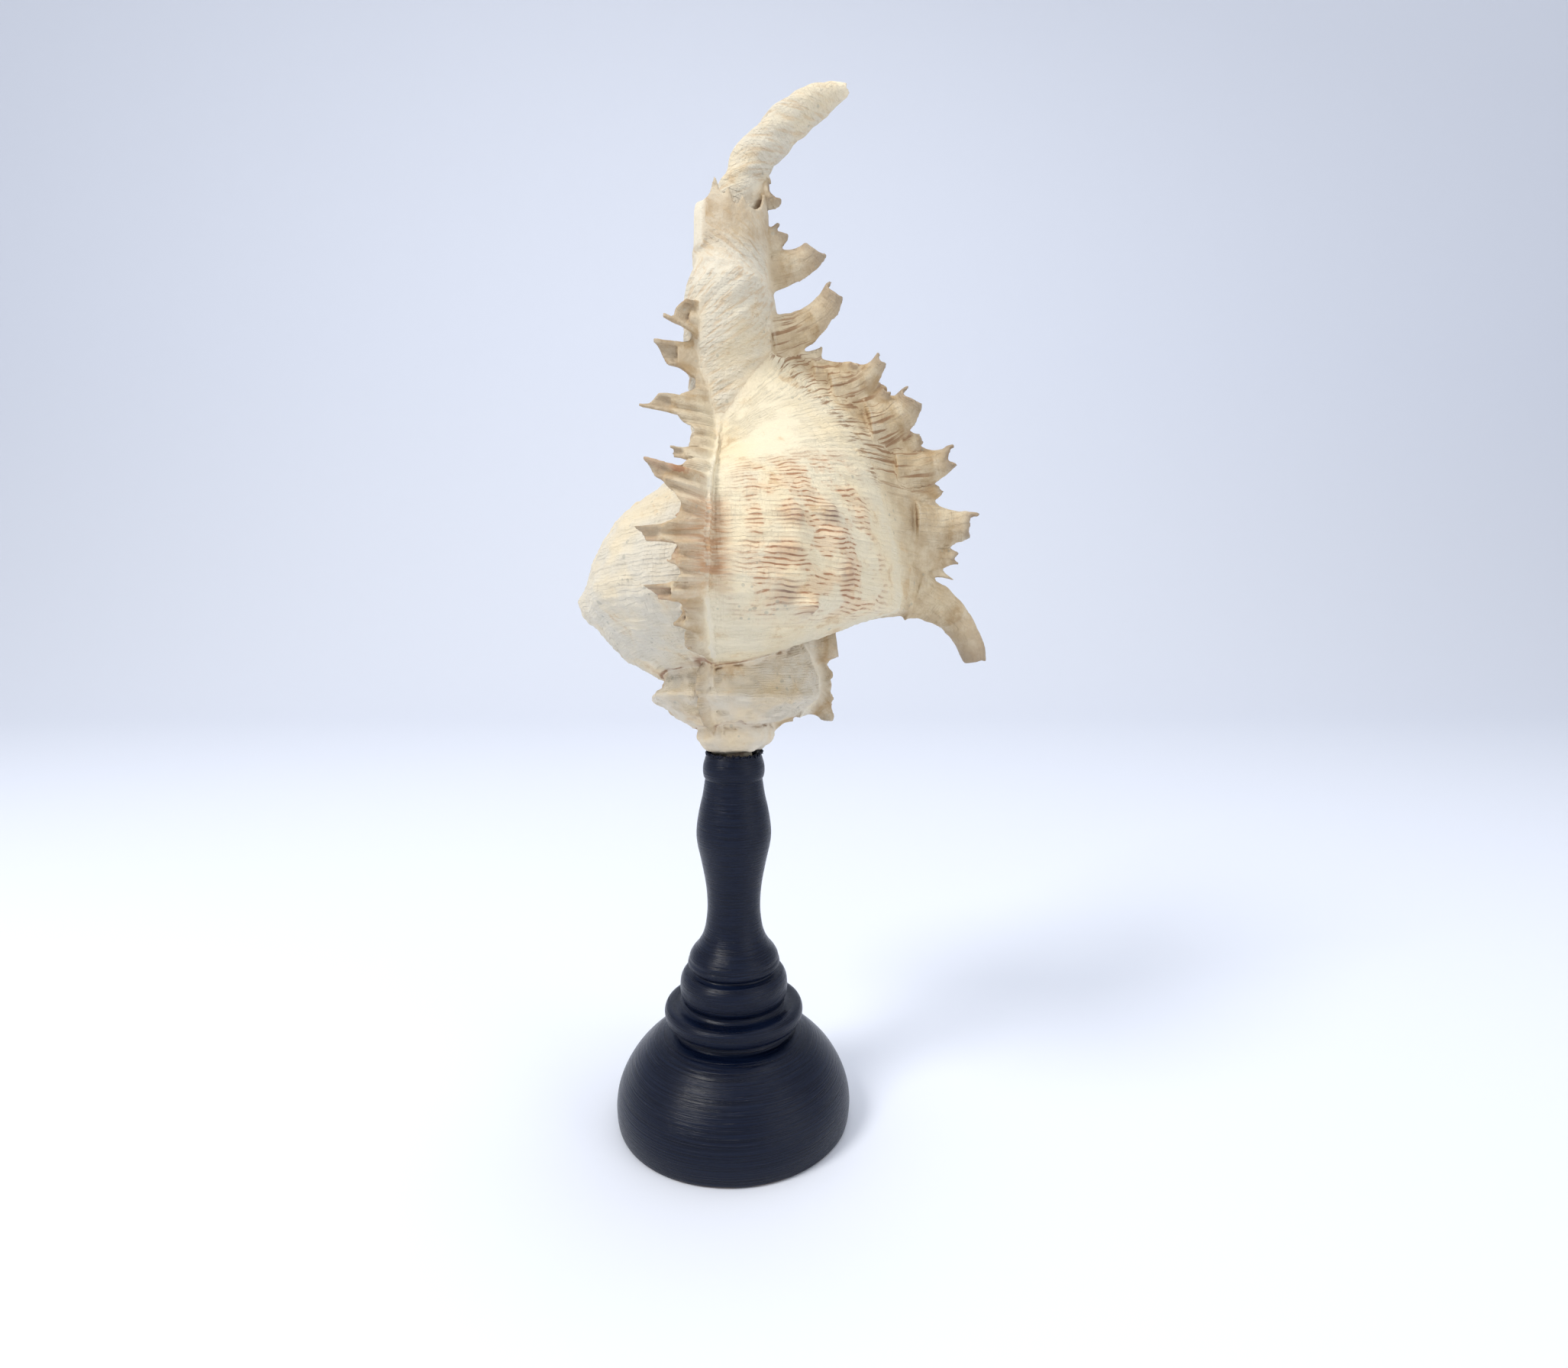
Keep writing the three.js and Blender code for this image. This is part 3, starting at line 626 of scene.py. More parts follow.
def canal_solid():
    """The canal as a smooth bar, marked by its girth and its length."""
    centre, radius, side, front = canal_frame()
    rings = round_rings(centre, side, front, radius, CANAL_SIDES)
    angle = 2 * np.pi * np.arange(CANAL_SIDES) / CANAL_SIDES
    length = np.concatenate([[0.0], np.cumsum(np.linalg.norm(np.diff(centre, axis=0), axis=1))])
    girth = radius[:, None] * np.abs(angle - np.pi)[None, :]
    marks = marks_of(rings.shape[:2], along=girth, thread=length[:, None], canal=1.0)
    return loft(rings, marks)


def collar_solid():
    """The ragged end of an older canal, standing a little off the newer one."""
    azimuth = np.radians(np.arange(0, 360, 3.0))
    turns = np.degrees(azimuth)
    rim = np.full_like(turns, COLLAR_RIM_Z)
    for place, tall, wide in COLLAR_SPIKES:
        away = (turns - place + 180) % 360 - 180
        rim += tall * np.exp(-np.abs(away / wide) ** 1.3)
    spot = round_axis(9.0, azimuth, 0.0)
    rim += 0.9 * bumpy(spot, 2.2, 4)
    profile = []
    for share, inset in COLLAR_WALL:
        z = mix(COLLAR_BASE_Z, rim, share)
        radius = mix(COLLAR_BASE_RADIUS, COLLAR_TOP_RADIUS, smooth(z, COLLAR_BASE_Z, COLLAR_RIM_Z)) - inset
        profile.append((radius + 0.4 * share * bumpy(spot, 1.6, 7), z))
    profile += [(COLLAR_BORE, COLLAR_BASE_Z + 8), (COLLAR_BORE, COLLAR_BASE_Z)]
    rings = np.stack([round_axis(radius, azimuth, z, COLLAR_X) for radius, z in profile], 1)
    girth = COLLAR_TOP_RADIUS * np.abs(azimuth - np.pi)[:, None]
    tanned = 0.42 * smooth(rings[..., 2], 241, 256)
    marks = marks_of(rings.shape[:2], girth, rings[..., 2] - 188, frond=tanned, canal=1.0)
    return loft(rings, marks, wrap=True)


def old_tube_solids():
    """The narrow tube beside the collar, and the bore that goes into it."""
    heights = np.linspace(OLD_TUBE["low"], OLD_TUBE["high"], 16)
    path = triple(OLD_TUBE["x"], OLD_TUBE["y"], heights)
    tube = tube_solid(path, OLD_TUBE["radius"], thread=60.0, canal=1.0)
    bore = tube_solid(path[9:] + [0, 0, 1.0], OLD_TUBE["radius"] - OLD_TUBE["wall"], hollow=1.0, canal=1.0)
    return tube, bore


def aperture_ring(growth, size, count):
    """The aperture's outline at a growth angle, drawn in towards its centre by the size."""
    outline = through_points(APERTURE_OUTLINE + APERTURE_OUTLINE[:1], count + 1)[:-1]
    radius = APERTURE_CENTRE[0] + (outline[:, 0] - APERTURE_CENTRE[0]) * size
    rise = APERTURE_CENTRE[1] + (outline[:, 1] - APERTURE_CENTRE[1]) * size
    return coil_point(np.full(count, float(growth)), radius, rise)


def cavity_solid():
    """The hollow of the last whorl, wide at the lip and narrowing into the coil."""
    depth = np.linspace(0.0, 1.0, 60)
    growths = mix(6.0, -CAVITY_ANGLE, depth)
    sizes = mix(1.0, CAVITY_END_SIZE, depth**2)
    rings = np.array([aperture_ring(growth, size, 90) for growth, size in zip(growths, sizes)])
    return loft(rings, marks_of(rings.shape[:2], along=depth[:, None] * -80, thread=40.0, mouth=2.0))


def aperture_rim_solid():
    """The raised edge round the aperture."""
    path = aperture_ring(0.4, 1.05, 120)
    radii = APERTURE_RIM + 0.35 * np.cos(np.arange(120) * 2 * np.pi / 8)
    return tube_solid(path, radii, wrap=True, along=0.0, thread=50.0, mouth=1.0)


def slit_solid():
    """The slit that runs from the aperture up the hidden side of the canal."""
    centre, radius, _, front = canal_frame()
    under_collar = (centre[:, 2] > COLLAR_BASE_Z) & (centre[:, 2] < COLLAR_RIM_Z + 1)
    depth = np.where(under_collar, COLLAR_TOP_RADIUS, radius * 0.93)
    groove = (centre + front * depth[:, None])[50:]
    start = np.array(CANAL_SLIT_START)
    lead = np.linspace(0.0, 1.0, 18)[:-1, None]
    path = np.concatenate([mix(start, groove[0], lead), groove])
    radii = np.full(len(path), CANAL_SLIT_RADIUS)
    radii[:17] = np.linspace(2.6, CANAL_SLIT_RADIUS, 17)
    return tube_solid(path, radii, sides=14, hollow=1.0, canal=1.0)


def canal_mouth_solid():
    """The bore in the canal's tip."""
    centre = canal_frame()[0]
    path = np.concatenate([centre[-12:], [2 * centre[-1] - centre[-4]]])
    return tube_solid(path, np.linspace(0.8, 1.3, 13), hollow=1.0, canal=1.0)


def stand_room_solid():
    """The room under the shell that leaves only its seat in the stand's socket."""
    seat = STAND_TOP_Z + FIT_GAP
    floor = seat - SOCKET_DEPTH
    profile = np.array(STAND_ROOM + [[8.0, seat], [SOCKET_TOP_RADIUS - FIT_GAP, seat],
                                     [SOCKET_FLOOR_RADIUS - FIT_GAP, floor], [0.01, floor]])
    azimuth = np.linspace(0, 2 * np.pi, 96, endpoint=False)
    rings = round_axis(profile[:, 0], azimuth[:, None], profile[:, 1])
    return loft(rings, marks_of(rings.shape[:2]), wrap=True)


def soft_least(a, b, softness):
    """The smaller of two fields, rounded where they meet."""
    share = np.clip(0.5 + 0.5 * (b - a) / softness, 0.0, 1.0)
    return b + (a - b) * share - softness * share * (1.0 - share)


class Field:
    """Signed distances on a regular grid, negative inside."""

    def __init__(self, low, high):
        self.low = np.floor(np.array(low) / VOXEL).astype(int)
        self.shape = np.ceil(np.array(high) / VOXEL).astype(int) - self.low + 1
        self.values = np.full(self.shape, BAND * VOXEL, np.float32)

    def part(self, solid):
        """A solid's own distances, and the box of the grid that they fill."""
        low = np.maximum(np.floor(solid.points.min(0) / VOXEL).astype(int) - BAND - 1, self.low)
        high = np.ceil(solid.points.max(0) / VOXEL).astype(int) + BAND + 1
        high = np.minimum(high, self.low + self.shape - 1)
        grid = openvdb.FloatGrid.createLevelSetFromPolygons(
            solid.points.astype(np.float32),
            triangles=solid.triangles.astype(np.uint32),
            transform=openvdb.createLinearTransform(voxelSize=VOXEL),
            halfWidth=float(BAND),
        )
        values = np.full(high - low + 1, BAND * VOXEL, np.float32)
        grid.copyToArray(values, ijk=tuple(int(v) for v in low))
        box = tuple(slice(a, b + 1) for a, b in zip(low - self.low, high - self.low))
        return box, values

    def add(self, solid, softness):
        box, values = self.part(solid)
        self.values[box] = soft_least(self.values[box], values, softness)

    def cut(self, solid, softness):
        box, values = self.part(solid)
        self.values[box] = -soft_least(-self.values[box], values, softness)

    def at(self, points):
        """Distances at points, by trilinear interpolation."""
        place = points / VOXEL - self.low
        cell = np.clip(np.floor(place).astype(int), 0, self.shape - 2)
        share = np.clip(place - cell, 0.0, 1.0)
        total = np.zeros(len(points))
        for corner in np.ndindex(2, 2, 2):
            i, j, k = (cell + np.array(corner)).T
            weight = np.prod(np.where(corner, share, 1.0 - share), axis=-1)
            total += self.values[i, j, k] * weight
        return total

    def surface(self):
        """Points and faces of the surface where the distance is zero."""
        grid = openvdb.FloatGrid(BAND * VOXEL)
        grid.copyFromArray(self.values, ijk=tuple(int(v) for v in self.low), tolerance=0.0)
        grid.transform = openvdb.createLinearTransform(voxelSize=VOXEL)
        points, _, quads = grid.convertToPolygons(isovalue=0.0, adaptivity=0.0)
        return points.astype(float), quads.astype(np.int64)


def face_edges(faces):
    """Pairs of neighbouring points, round each face."""
    after = np.roll(faces, -1, axis=1)
    return np.stack([faces.ravel(), after.ravel()], -1)


def largest_piece(points, faces):
    """Keeps the piece of a mesh that its widest point belongs to."""
    label = np.arange(len(points))
    edges = face_edges(faces)
    while True:
        least = np.minimum(label[edges[:, 0]], label[edges[:, 1]])
        new = label.copy()
        np.minimum.at(new, label[edges[:, 0]], least)
        np.minimum.at(new, label[edges[:, 1]], least)
        new = new[new]
        if (new == label).all():
            break
        label = new
    kept = label == label[np.argmax(points[:, 0])]
    number = np.cumsum(kept) - 1
    return points[kept], number[faces[kept[faces[:, 0]]]]


def normals_of(points, faces):
    """Normals at the points, averaged over their faces."""
    a, b, c = (points[faces[:, k]] for k in range(3))
    flat = np.cross(b - a, c - a)
    total = np.zeros_like(points)
    for k in range(faces.shape[1]):
        np.add.at(total, faces[:, k], flat)
    return unit(total)


def spread(values, edges, rounds):
    """Values at points, evened out with those of their neighbours."""
    one, other = edges.T
    total = len(values)
    count = np.maximum(np.bincount(edges.ravel(), minlength=total), 1)
    for _ in range(rounds):
        near = np.bincount(one, values[other], total) + np.bincount(other, values[one], total)
        values = 0.4 * values + 0.6 * near / count
    return values


def seam_mask(marks, edges):
    """One where two parts of the shell meet and their patterns don't run on."""
    jump = np.abs(marks[edges[:, 0], :2] - marks[edges[:, 1], :2]).max(-1) > 2.5
    marked = np.zeros(len(marks))
    marked[edges[jump].ravel()] = 1.0
    return smooth(spread(marked, edges, 5), 0.0, 0.4)


def crest_mask(marks):
    """One at the dark places on the ribs and knobs, and at the painted shadow under the large knob."""
    growth = marks[:, 0] / MM_PER_DEGREE
    total = np.zeros(len(marks))
    for angle, place, wide, high in CREST_SPOTS_AND_KNOB_SHADOW:
        total += np.exp(-((growth - angle) / wide) ** 2 - ((marks[:, 1] - place) / high) ** 2)
    return np.clip(total, 0, 1)


def read_marks(solids, points):
    """Marks of the nearest source surface at each point."""
    offsets = np.cumsum([0] + [len(s.points) for s in solids])
    all_points = np.concatenate([s.points for s in solids])
    all_marks = np.concatenate([s.marks for s in solids])
    skins = np.concatenate([s.skin + offset for s, offset in zip(solids, offsets)])
    tree = BVHTree.FromPolygons(all_points.tolist(), skins.tolist())
    found = [tree.find_nearest(point) for point in points.tolist()]
    spots = np.array([f[0] for f in found], float)
    corners = skins[[f[2] for f in found]]
    a, b, c = (all_points[corners[:, k]] for k in range(3))
    whole = np.cross(b - a, c - a)
    area = np.maximum((whole**2).sum(-1), 1e-18)
    u = (np.cross(c - b, spots - b) * whole).sum(-1) / area
    v = (np.cross(a - c, spots - c) * whole).sum(-1) / area
    weights = np.clip(np.stack([u, v, 1 - u - v], -1), 0, 1)
    weights /= weights.sum(-1, keepdims=True)
    return (all_marks[corners] * weights[..., None]).sum(1)


def mesh_object(name, points, faces):
    mesh = bpy.data.meshes.new(name)
    mesh.from_pydata(points.tolist(), [], faces.tolist())
    mesh.update()
    obj = bpy.data.objects.new(name, mesh)
    bpy.context.scene.collection.objects.link(obj)
    return obj


def thinned(obj, triangles):
    """The object's mesh with fewer faces, as a plain mesh of triangles."""
    obj.data.calc_loop_triangles()
    count = len(obj.data.loop_triangles)
    thin = obj.modifiers.new("thin", "DECIMATE")
    thin.ratio = min(1.0, triangles / count)
    thin.use_collapse_triangulate = True
    evaluated = obj.evaluated_get(bpy.context.evaluated_depsgraph_get())
    mesh = bpy.data.meshes.new_from_object(evaluated)
    obj.modifiers.remove(thin)
    obj.data = mesh
    return obj


def vectors_from(items, name):
    """The named vector of each item of a mesh."""
    values = np.zeros(len(items) * 3, np.float32)
    items.foreach_get(name, values)
    return values.reshape(-1, 3).astype(float)


def store(mesh, name, values):
    """Keeps one number or three for each point of a mesh, for its material."""
    values = np.asarray(values, np.float32)
    kind = "FLOAT_VECTOR" if values.ndim == 2 else "FLOAT"
    field = "vector" if values.ndim == 2 else "value"
    attribute = mesh.attributes.new(name, kind, "POINT")
    attribute.data.foreach_set(field, values.ravel())


def smooth_shaded(obj):
    obj.data.polygons.foreach_set("use_smooth", [True] * len(obj.data.polygons))
    obj.data.update()
    return obj


def shell_relief(points, normals, marks, field):
    """Growth wrinkles, worn pits and small lumps, as a height along the normal."""
    along, thread, frond, _, canal, mouth = marks.T
    spiral = triple(along, thread, frond * 4)
    lamella = bumpy(spiral * [1.0, 0.16, 1.0], 1.7, 11) * GROWTH_LINE_HEIGHT
    cord = np.cos(2 * np.pi * thread / THREAD_PITCH + bumpy(spiral, 6, 3)) * THREAD_HEIGHT
    slope = triple(along * 0.45 + thread * 0.65, along * 0.14, thread * 0.05)
    wrinkle = bumpy(slope, 1.5, 21) * WRINKLE_HEIGHTS[0] + bumpy(slope, 3.4, 22) * WRINKLE_HEIGHTS[1]
    older = 0.9 * (1.0 - smooth(along, -100, -82)) + 1.1 * (1.0 - smooth(along, -300, -285))
    worn = 1.0 + older * (1.0 - canal)
    lumps = (bumpy(points, 3.2, 8) * LUMP_HEIGHTS[1] + bumpy(points, 1.5, 9) * LUMP_HEIGHTS[0]) * worn
    open_wall = smooth(field.at(points - normals * RELIEF_WALL), -0.4, -1.4)
    plain = np.where(mouth > 0.5, 0.15, 1.0)
    body = (lamella + cord) * (1 - canal) + wrinkle * canal
    return (body + lumps) * plain * open_wall


def coil_solids():
    """Growth stages, fronds and frills, in the order they grow."""
    stages = [stage_solid(VARIX_ANGLES[k + 1], VARIX_ANGLES[k]) for k in range(len(VARIX_ANGLES) - 1)]
    fronds = []
    for varix, rows in VARIX_FRONDS.items():
        for number, row in enumerate(rows):
            fronds.append(frond_solid(varix, row, number + abs(varix) % 13))
    frills = [frill_solid(varix, VARIX_FRONDS.get(varix, []), 3 + abs(varix) % 11) for varix in FRILLS]
    return stages, fronds, frills


def grow_shell():
    """The whole shell as one closed surface, with its marks stored for the finish."""
    stages, fronds, frills = coil_solids()
    canal = canal_solid()
    collar = collar_solid()
    tube, bore = old_tube_solids()
    rim = aperture_rim_solid()
    cavity = cavity_solid()
    slit = slit_solid()
    mouth = canal_mouth_solid()
    # How softly each is joined or cut, in the order of the work
    joined = [(stages, 0.5), ([canal], 4.2), (frills, 1.0), (fronds, 1.6), ([rim], 1.5), ([collar], 0.8),
              ([tube], 3.2)]
    cut_away = [([cavity], 0.8), ([bore, slit, mouth], 0.4), ([stand_room_solid()], 0.6)]
    field = Field(GRID_LOW, GRID_HIGH)
    for work, groups in ((field.add, joined), (field.cut, cut_away)):
        for solids, softness in groups:
            for solid in solids:
                work(solid, softness)
    points, faces = largest_piece(*field.surface())
    sources = [*stages, *fronds, *frills, canal, collar, tube, rim, cavity, bore, slit, mouth]
    normals = normals_of(points, faces)
    marks = read_marks(sources, points)
    edges = face_edges(faces)
    relief = shell_relief(points, normals, marks, field) * (1.0 - seam_mask(marks, edges))
    points = points + normals * spread(relief, edges, 1)[:, None]
    shell = thinned(mesh_object("murex", points * MM, faces), SHELL_TRIANGLES)
    finish_marks(shell, sources, field)
    return smooth_shaded(shell)


def finish_marks(shell, sources, field):
    """Stores what the finish reads at each point of the shell."""
    points = vectors_from(shell.data.vertices, "co") / MM
    normals = vectors_from(shell.data.vertex_normals, "vector")
    marks = read_marks(sources, points)
    # How closed in each point is, near and a little farther out; the material lays painted shade where this
    # is high
    near, far = (
        np.clip(1.0 - field.at(points + normals * reach) / reach, 0, 1)
        for reach in (CREVICE_NEAR, CREVICE_FAR)
    )
    inside = np.clip(1.0 + field.at(points - normals * EDGE_DEPTH) / EDGE_DEPTH, 0, 1)
    shell.data.calc_loop_triangles()
    faces = np.zeros(len(shell.data.loop_triangles) * 3, np.int32)
    shell.data.loop_triangles.foreach_get("vertices", faces)
    edges = face_edges(faces.reshape(-1, 3).astype(np.int64))
    marks[:, 2] = spread(marks[:, 2], edges, 2)
    kept = {
        "spiral": marks[:, :3], "seam": seam_mask(marks, edges), "crest": crest_mask(marks),
        "crevice": 0.45 * near + 0.55 * far, "edge": inside, "hollow": spread(marks[:, 3], edges, 2),
        "canal": spread(marks[:, 4], edges, 12), "mouth": marks[:, 5],
    }
    for name, values in kept.items():
        store(shell.data, name, values)


def stand_profile():
    """The turned profile as radius and height, from the foot's centre to the socket's floor."""
    rows = []
    for stretch in STAND_STRETCHES:
        steps = np.diff(np.asarray(stretch, float), axis=0)
        length = float(np.hypot(steps[:, 0], steps[:, 1]).sum())
        count = max(4, int(length / STAND_STEP))
        rows.append(through_points(stretch, count)[:-1])
    return np.concatenate(rows)


def turn_stand():
    """The stand, turned in one piece, a little uneven as hand work is."""
    profile = stand_profile()[1:]
    azimuth = np.linspace(0, 2 * np.pi, STAND_SIDES, endpoint=False)
    radius = np.maximum(profile[:, 0], 0)
    height = profile[:, 1]
    place = round_axis(radius, azimuth[:, None], height)
    uneven = 1.0 + 0.0025 * bumpy(place, 9.0, 2) * (height > 0.1)
    place[..., :2] *= uneven[..., None]
    columns = len(profile)
    foot = STAND_SIDES * columns
    points = np.concatenate([place.reshape(-1, 3), [[0, 0, 0], [0, 0, SOCKET_FLOOR_Z]]])
    rings = np.arange(STAND_SIDES) * columns
    body = strips(STAND_SIDES + 1, columns) % foot
    bottom = fan(foot, rings)[:, ::-1]
    top = fan(foot + 1, rings + columns - 1)
    stand = mesh_object("stand", points * MM, np.concatenate([body, bottom, top]))
    return smooth_shaded(stand)


def crumb_tree():
    """Crumbs of old paint and glue, scattered round a ring."""
    group = bpy.data.node_groups.new("seat_crumbs", "GeometryNodeTree")
    kinds = {"Radius": "Float", "Height": "Float", "Size": "Float", "Count": "Int", "Seed": "Int",
             "Paint": "Material"}
    for label, kind in kinds.items():
        group.interface.new_socket(label, in_out="INPUT", socket_type="NodeSocket" + kind)
    group.interface.new_socket("Geometry", in_out="OUTPUT", socket_type="NodeSocketGeometry")
    tree = Tree(group)
    given = tree.add("NodeGroupInput").outputs
    made = tree.add("NodeGroupOutput")
    ring = tree.add("GeometryNodeMeshCircle", Vertices=given["Count"], Radius=given["Radius"])
    size = given["Size"]
    jitter = tree.random_vector((-1.0, -1.0, -0.4), (1.0, 1.0, 0.2), given["Seed"])
    shift = tree.add("ShaderNodeVectorMath", {"operation": "SCALE"}, i0=jitter, Scale=size)
    lift = tree.add("ShaderNodeCombineXYZ", i2=given["Height"])
    offset = tree.add("ShaderNodeVectorMath", {"operation": "ADD"}, i0=shift, i1=lift)
    placed = tree.add("GeometryNodeSetPosition", Geometry=ring, Offset=offset)
    crumb = tree.add("GeometryNodeMeshIcoSphere", Radius=size, Subdivisions=2)
    turn = tree.random_vector((0.0, 0.0, 0.0), (6.0, 6.0, 6.0), given["Seed"])
    scale = tree.random_vector((0.4, 0.4, 0.3), (1.6, 1.1, 0.8), given["Seed"])
    spots = tree.add("GeometryNodeInstanceOnPoints", Points=placed, Instance=crumb, Scale=scale,
                     Rotation=turn)
    whole = tree.add("GeometryNodeRealizeInstances", Geometry=spots)
    painted = tree.add("GeometryNodeSetMaterial", Geometry=whole, Material=given["Paint"])
    tree.put(made.inputs[0], painted)
    return group


def scatter_crumbs(paint):
    """The crumbs as a plain mesh, on the rim where the spire goes into the stand."""
    base = mesh_object("crumb_base", np.zeros((3, 3)), np.array([[0, 1, 2]]))
    crumbs = base.modifiers.new("crumbs", "NODES")
    crumbs.node_group = crumb_tree()
    values = {"Radius": SEAT_RING * MM, "Height": STAND_TOP_Z * MM, "Size": CRUMB_SIZE * MM,
              "Count": CRUMB_COUNT, "Seed": CRUMB_SEED, "Paint": paint}
    for item in crumbs.node_group.interface.items_tree:
        if item.in_out == "INPUT":
            crumbs[item.identifier] = values[item.name]
    evaluated = base.evaluated_get(bpy.context.evaluated_depsgraph_get())
    mesh = bpy.data.meshes.new_from_object(evaluated)
    base.modifiers.remove(crumbs)
    bpy.data.objects.remove(base)
    obj = bpy.data.objects.new("seat_crumbs", mesh)
    bpy.context.scene.collection.objects.link(obj)
    return smooth_shaded(obj)


class Tree:
    """Places nodes in a tree and joins them. An input goes by its name, or as i0, i1 by its number."""

    def __init__(self, tree):
        self.tree = tree

    def add(self, kind, settings=None, **inputs):
        node = self.tree.nodes.new(kind)
        for name, value in (settings or {}).items():
            setattr(node, name, value)
        for name, value in inputs.items():
            numbered = name[0] == "i" and name[1:].isdigit()
            self.put(node.inputs[int(name[1:]) if numbered else name], value)
        return node

    def put(self, socket, value):
        if isinstance(value, bpy.types.NodeSocket):
            self.tree.links.new(value, socket)
        elif isinstance(value, bpy.types.Node):
            self.tree.links.new(value.outputs[0], socket)
        else:
            socket.default_value = value

    def math(self, operation, a, b=0.0):
        return self.add("ShaderNodeMath", {"operation": operation}, i0=a, i1=b).outputs[0]

    def plus(self, a, b):
        return self.math("ADD", a, b)

    def minus(self, a, b):
        return self.math("SUBTRACT", a, b)

    def times(self, first, *others):
        for other in others:
            first = self.math("MULTIPLY", first, other)
        return first

    def tint(self, colour, tint, *shares):
        """Another colour laid over one, by the product of some shares."""
        return self.blend(self.times(*shares), colour, tint)

    def random_vector(self, low, high, seed):
        node = self.add("FunctionNodeRandomValue", {"data_type": "FLOAT_VECTOR"}, Seed=seed)
        node.inputs[0].default_value = low
        node.inputs[1].default_value = high
        return node.outputs[0]

    def ramp(self, value, low, high, out_low=0.0, out_high=1.0):
        """A smooth step of a value between two limits."""
        settings = {"interpolation_type": "SMOOTHSTEP"}
        node = self.add("ShaderNodeMapRange", settings, i0=value, i1=low, i2=high, i3=out_low, i4=out_high)
        return node.outputs[0]

    def blend(self, share, a, b):
        node = self.add("ShaderNodeMix", {"data_type": "RGBA"})
        self.put(node.inputs[0], share)
        self.put(node.inputs[6], a)
        self.put(node.inputs[7], b)
        return node.outputs[2]

    def noise(self, vector, scale, detail=2.0, roughness=0.5):
        node = self.add("ShaderNodeTexNoise", Vector=vector, Scale=scale, Detail=detail, Roughness=roughness)
        return node.outputs[0]

    def stretch(self, vector, scale):
        node = self.add("ShaderNodeVectorMath", {"operation": "MULTIPLY"}, i0=vector, i1=scale)
        return node.outputs[0]

    def attribute(self, name, output="Fac"):
        node = self.add("ShaderNodeAttribute", {"attribute_name": name})
        return node.outputs[output]

    def parts(self, vector):
        node = self.add("ShaderNodeSeparateXYZ", i0=vector)
        return node.outputs


def rgb(red, green, blue):
    return (red, green, blue, 1.0)


def new_group(name, inputs, outputs):
    """A shader node group with named sockets, and its input and output nodes."""
    group = bpy.data.node_groups.new(name, "ShaderNodeTree")
    for label, kind, default in inputs:
        socket = group.interface.new_socket(label, in_out="INPUT", socket_type=kind)
        if default is not None:
            socket.default_value = default
    for label, kind in outputs:
        group.interface.new_socket(label, in_out="OUTPUT", socket_type=kind)
    tree = Tree(group)
    return group, tree, tree.add("NodeGroupInput"), tree.add("NodeGroupOutput")


def streaks_group():
    """Long thin streaks across a stretched pattern, gathered in patches."""
    group, tree, given, made = new_group(
        "streaks",
        [("Vector", "NodeSocketVector", None), ("Stretch", "NodeSocketVector", (1, 1, 1)),
         ("Scale", "NodeSocketFloat", 1.0), ("Amount", "NodeSocketFloat", 0.5)],
        [("Mask", "NodeSocketFloat")],
    )
    place = tree.stretch(given.outputs["Vector"], given.outputs["Stretch"])
    fine = tree.noise(place, given.outputs["Scale"], 3.0, 0.55)
    low = tree.minus(0.72, tree.times(given.outputs["Amount"], 0.35))
    high = tree.plus(low, 0.1)
    tree.put(made.inputs["Mask"], tree.ramp(fine, low, high))
    return group


def specks_group():
    """Small scattered specks and pits of uneven size."""
    group, tree, given, made = new_group(
        "specks",
        [("Vector", "NodeSocketVector", None), ("Scale", "NodeSocketFloat", 1.0),
         ("Size", "NodeSocketFloat", 0.3), ("Patch", "NodeSocketFloat", 0.5)],
        [("Mask", "NodeSocketFloat")],
    )
    cells = tree.add("ShaderNodeTexVoronoi", {"feature": "F1"}, Vector=given.outputs["Vector"],
                     Scale=given.outputs["Scale"], Randomness=1.0)
    patch = tree.noise(given.outputs["Vector"], tree.times(given.outputs["Scale"], 0.21), 2.0)
    size = tree.times(given.outputs["Size"], tree.ramp(patch, given.outputs["Patch"], 0.75))
    spot = tree.minus(size, cells.outputs["Distance"])
    tree.put(made.inputs["Mask"], tree.ramp(spot, 0.0, 0.06))
    return group


STREAKS = streaks_group()
SPECKS = specks_group()


def use_group(tree, group, **values):
    node = tree.add("ShaderNodeGroup", {"node_tree": group})
    for name, value in values.items():
        tree.put(node.inputs[name], value)
    return node.outputs[0]


def new_material(name):
    """A material with its tree and its shader."""
    material = bpy.data.materials.new(name)
    material.use_nodes = True
    tree = Tree(material.node_tree)
    shader = material.node_tree.nodes["Principled BSDF"]
    return material, tree, shader


CREAM = rgb(0.78, 0.69, 0.50)
CHALK = rgb(0.71, 0.65, 0.525)
TAN = rgb(0.40, 0.27, 0.135)
DARK_TIP = rgb(0.22, 0.13, 0.065)
RED_BROWN = rgb(0.27, 0.105, 0.048)
CREST_BROWN = rgb(0.12, 0.045, 0.035)
STAIN = rgb(0.56, 0.36, 0.17)
BROWN = rgb(0.27, 0.14, 0.06)
ORANGE = rgb(0.70, 0.40, 0.20)
# Brown of the painted shade in the crevices
CREVICE_SHADE_BROWN = rgb(0.25, 0.15, 0.08)
GREY_GREEN = rgb(0.33, 0.32, 0.25)
PORCELAIN = rgb(0.86, 0.80, 0.72)
WARM_CREAM = rgb(0.83, 0.68, 0.43)
RUST = rgb(0.42, 0.23, 0.12)
LEFT_RUST = rgb(0.50, 0.24, 0.10)
WORN_PALE = rgb(0.86, 0.80, 0.64)
PAINT_BLACK = rgb(0.001, 0.0028, 0.011)
PAINT_NAVY = rgb(0.003, 0.0075, 0.024)
PAINT_DUST = rgb(0.022, 0.028, 0.045)
BARE_WOOD = rgb(0.14, 0.09, 0.06)

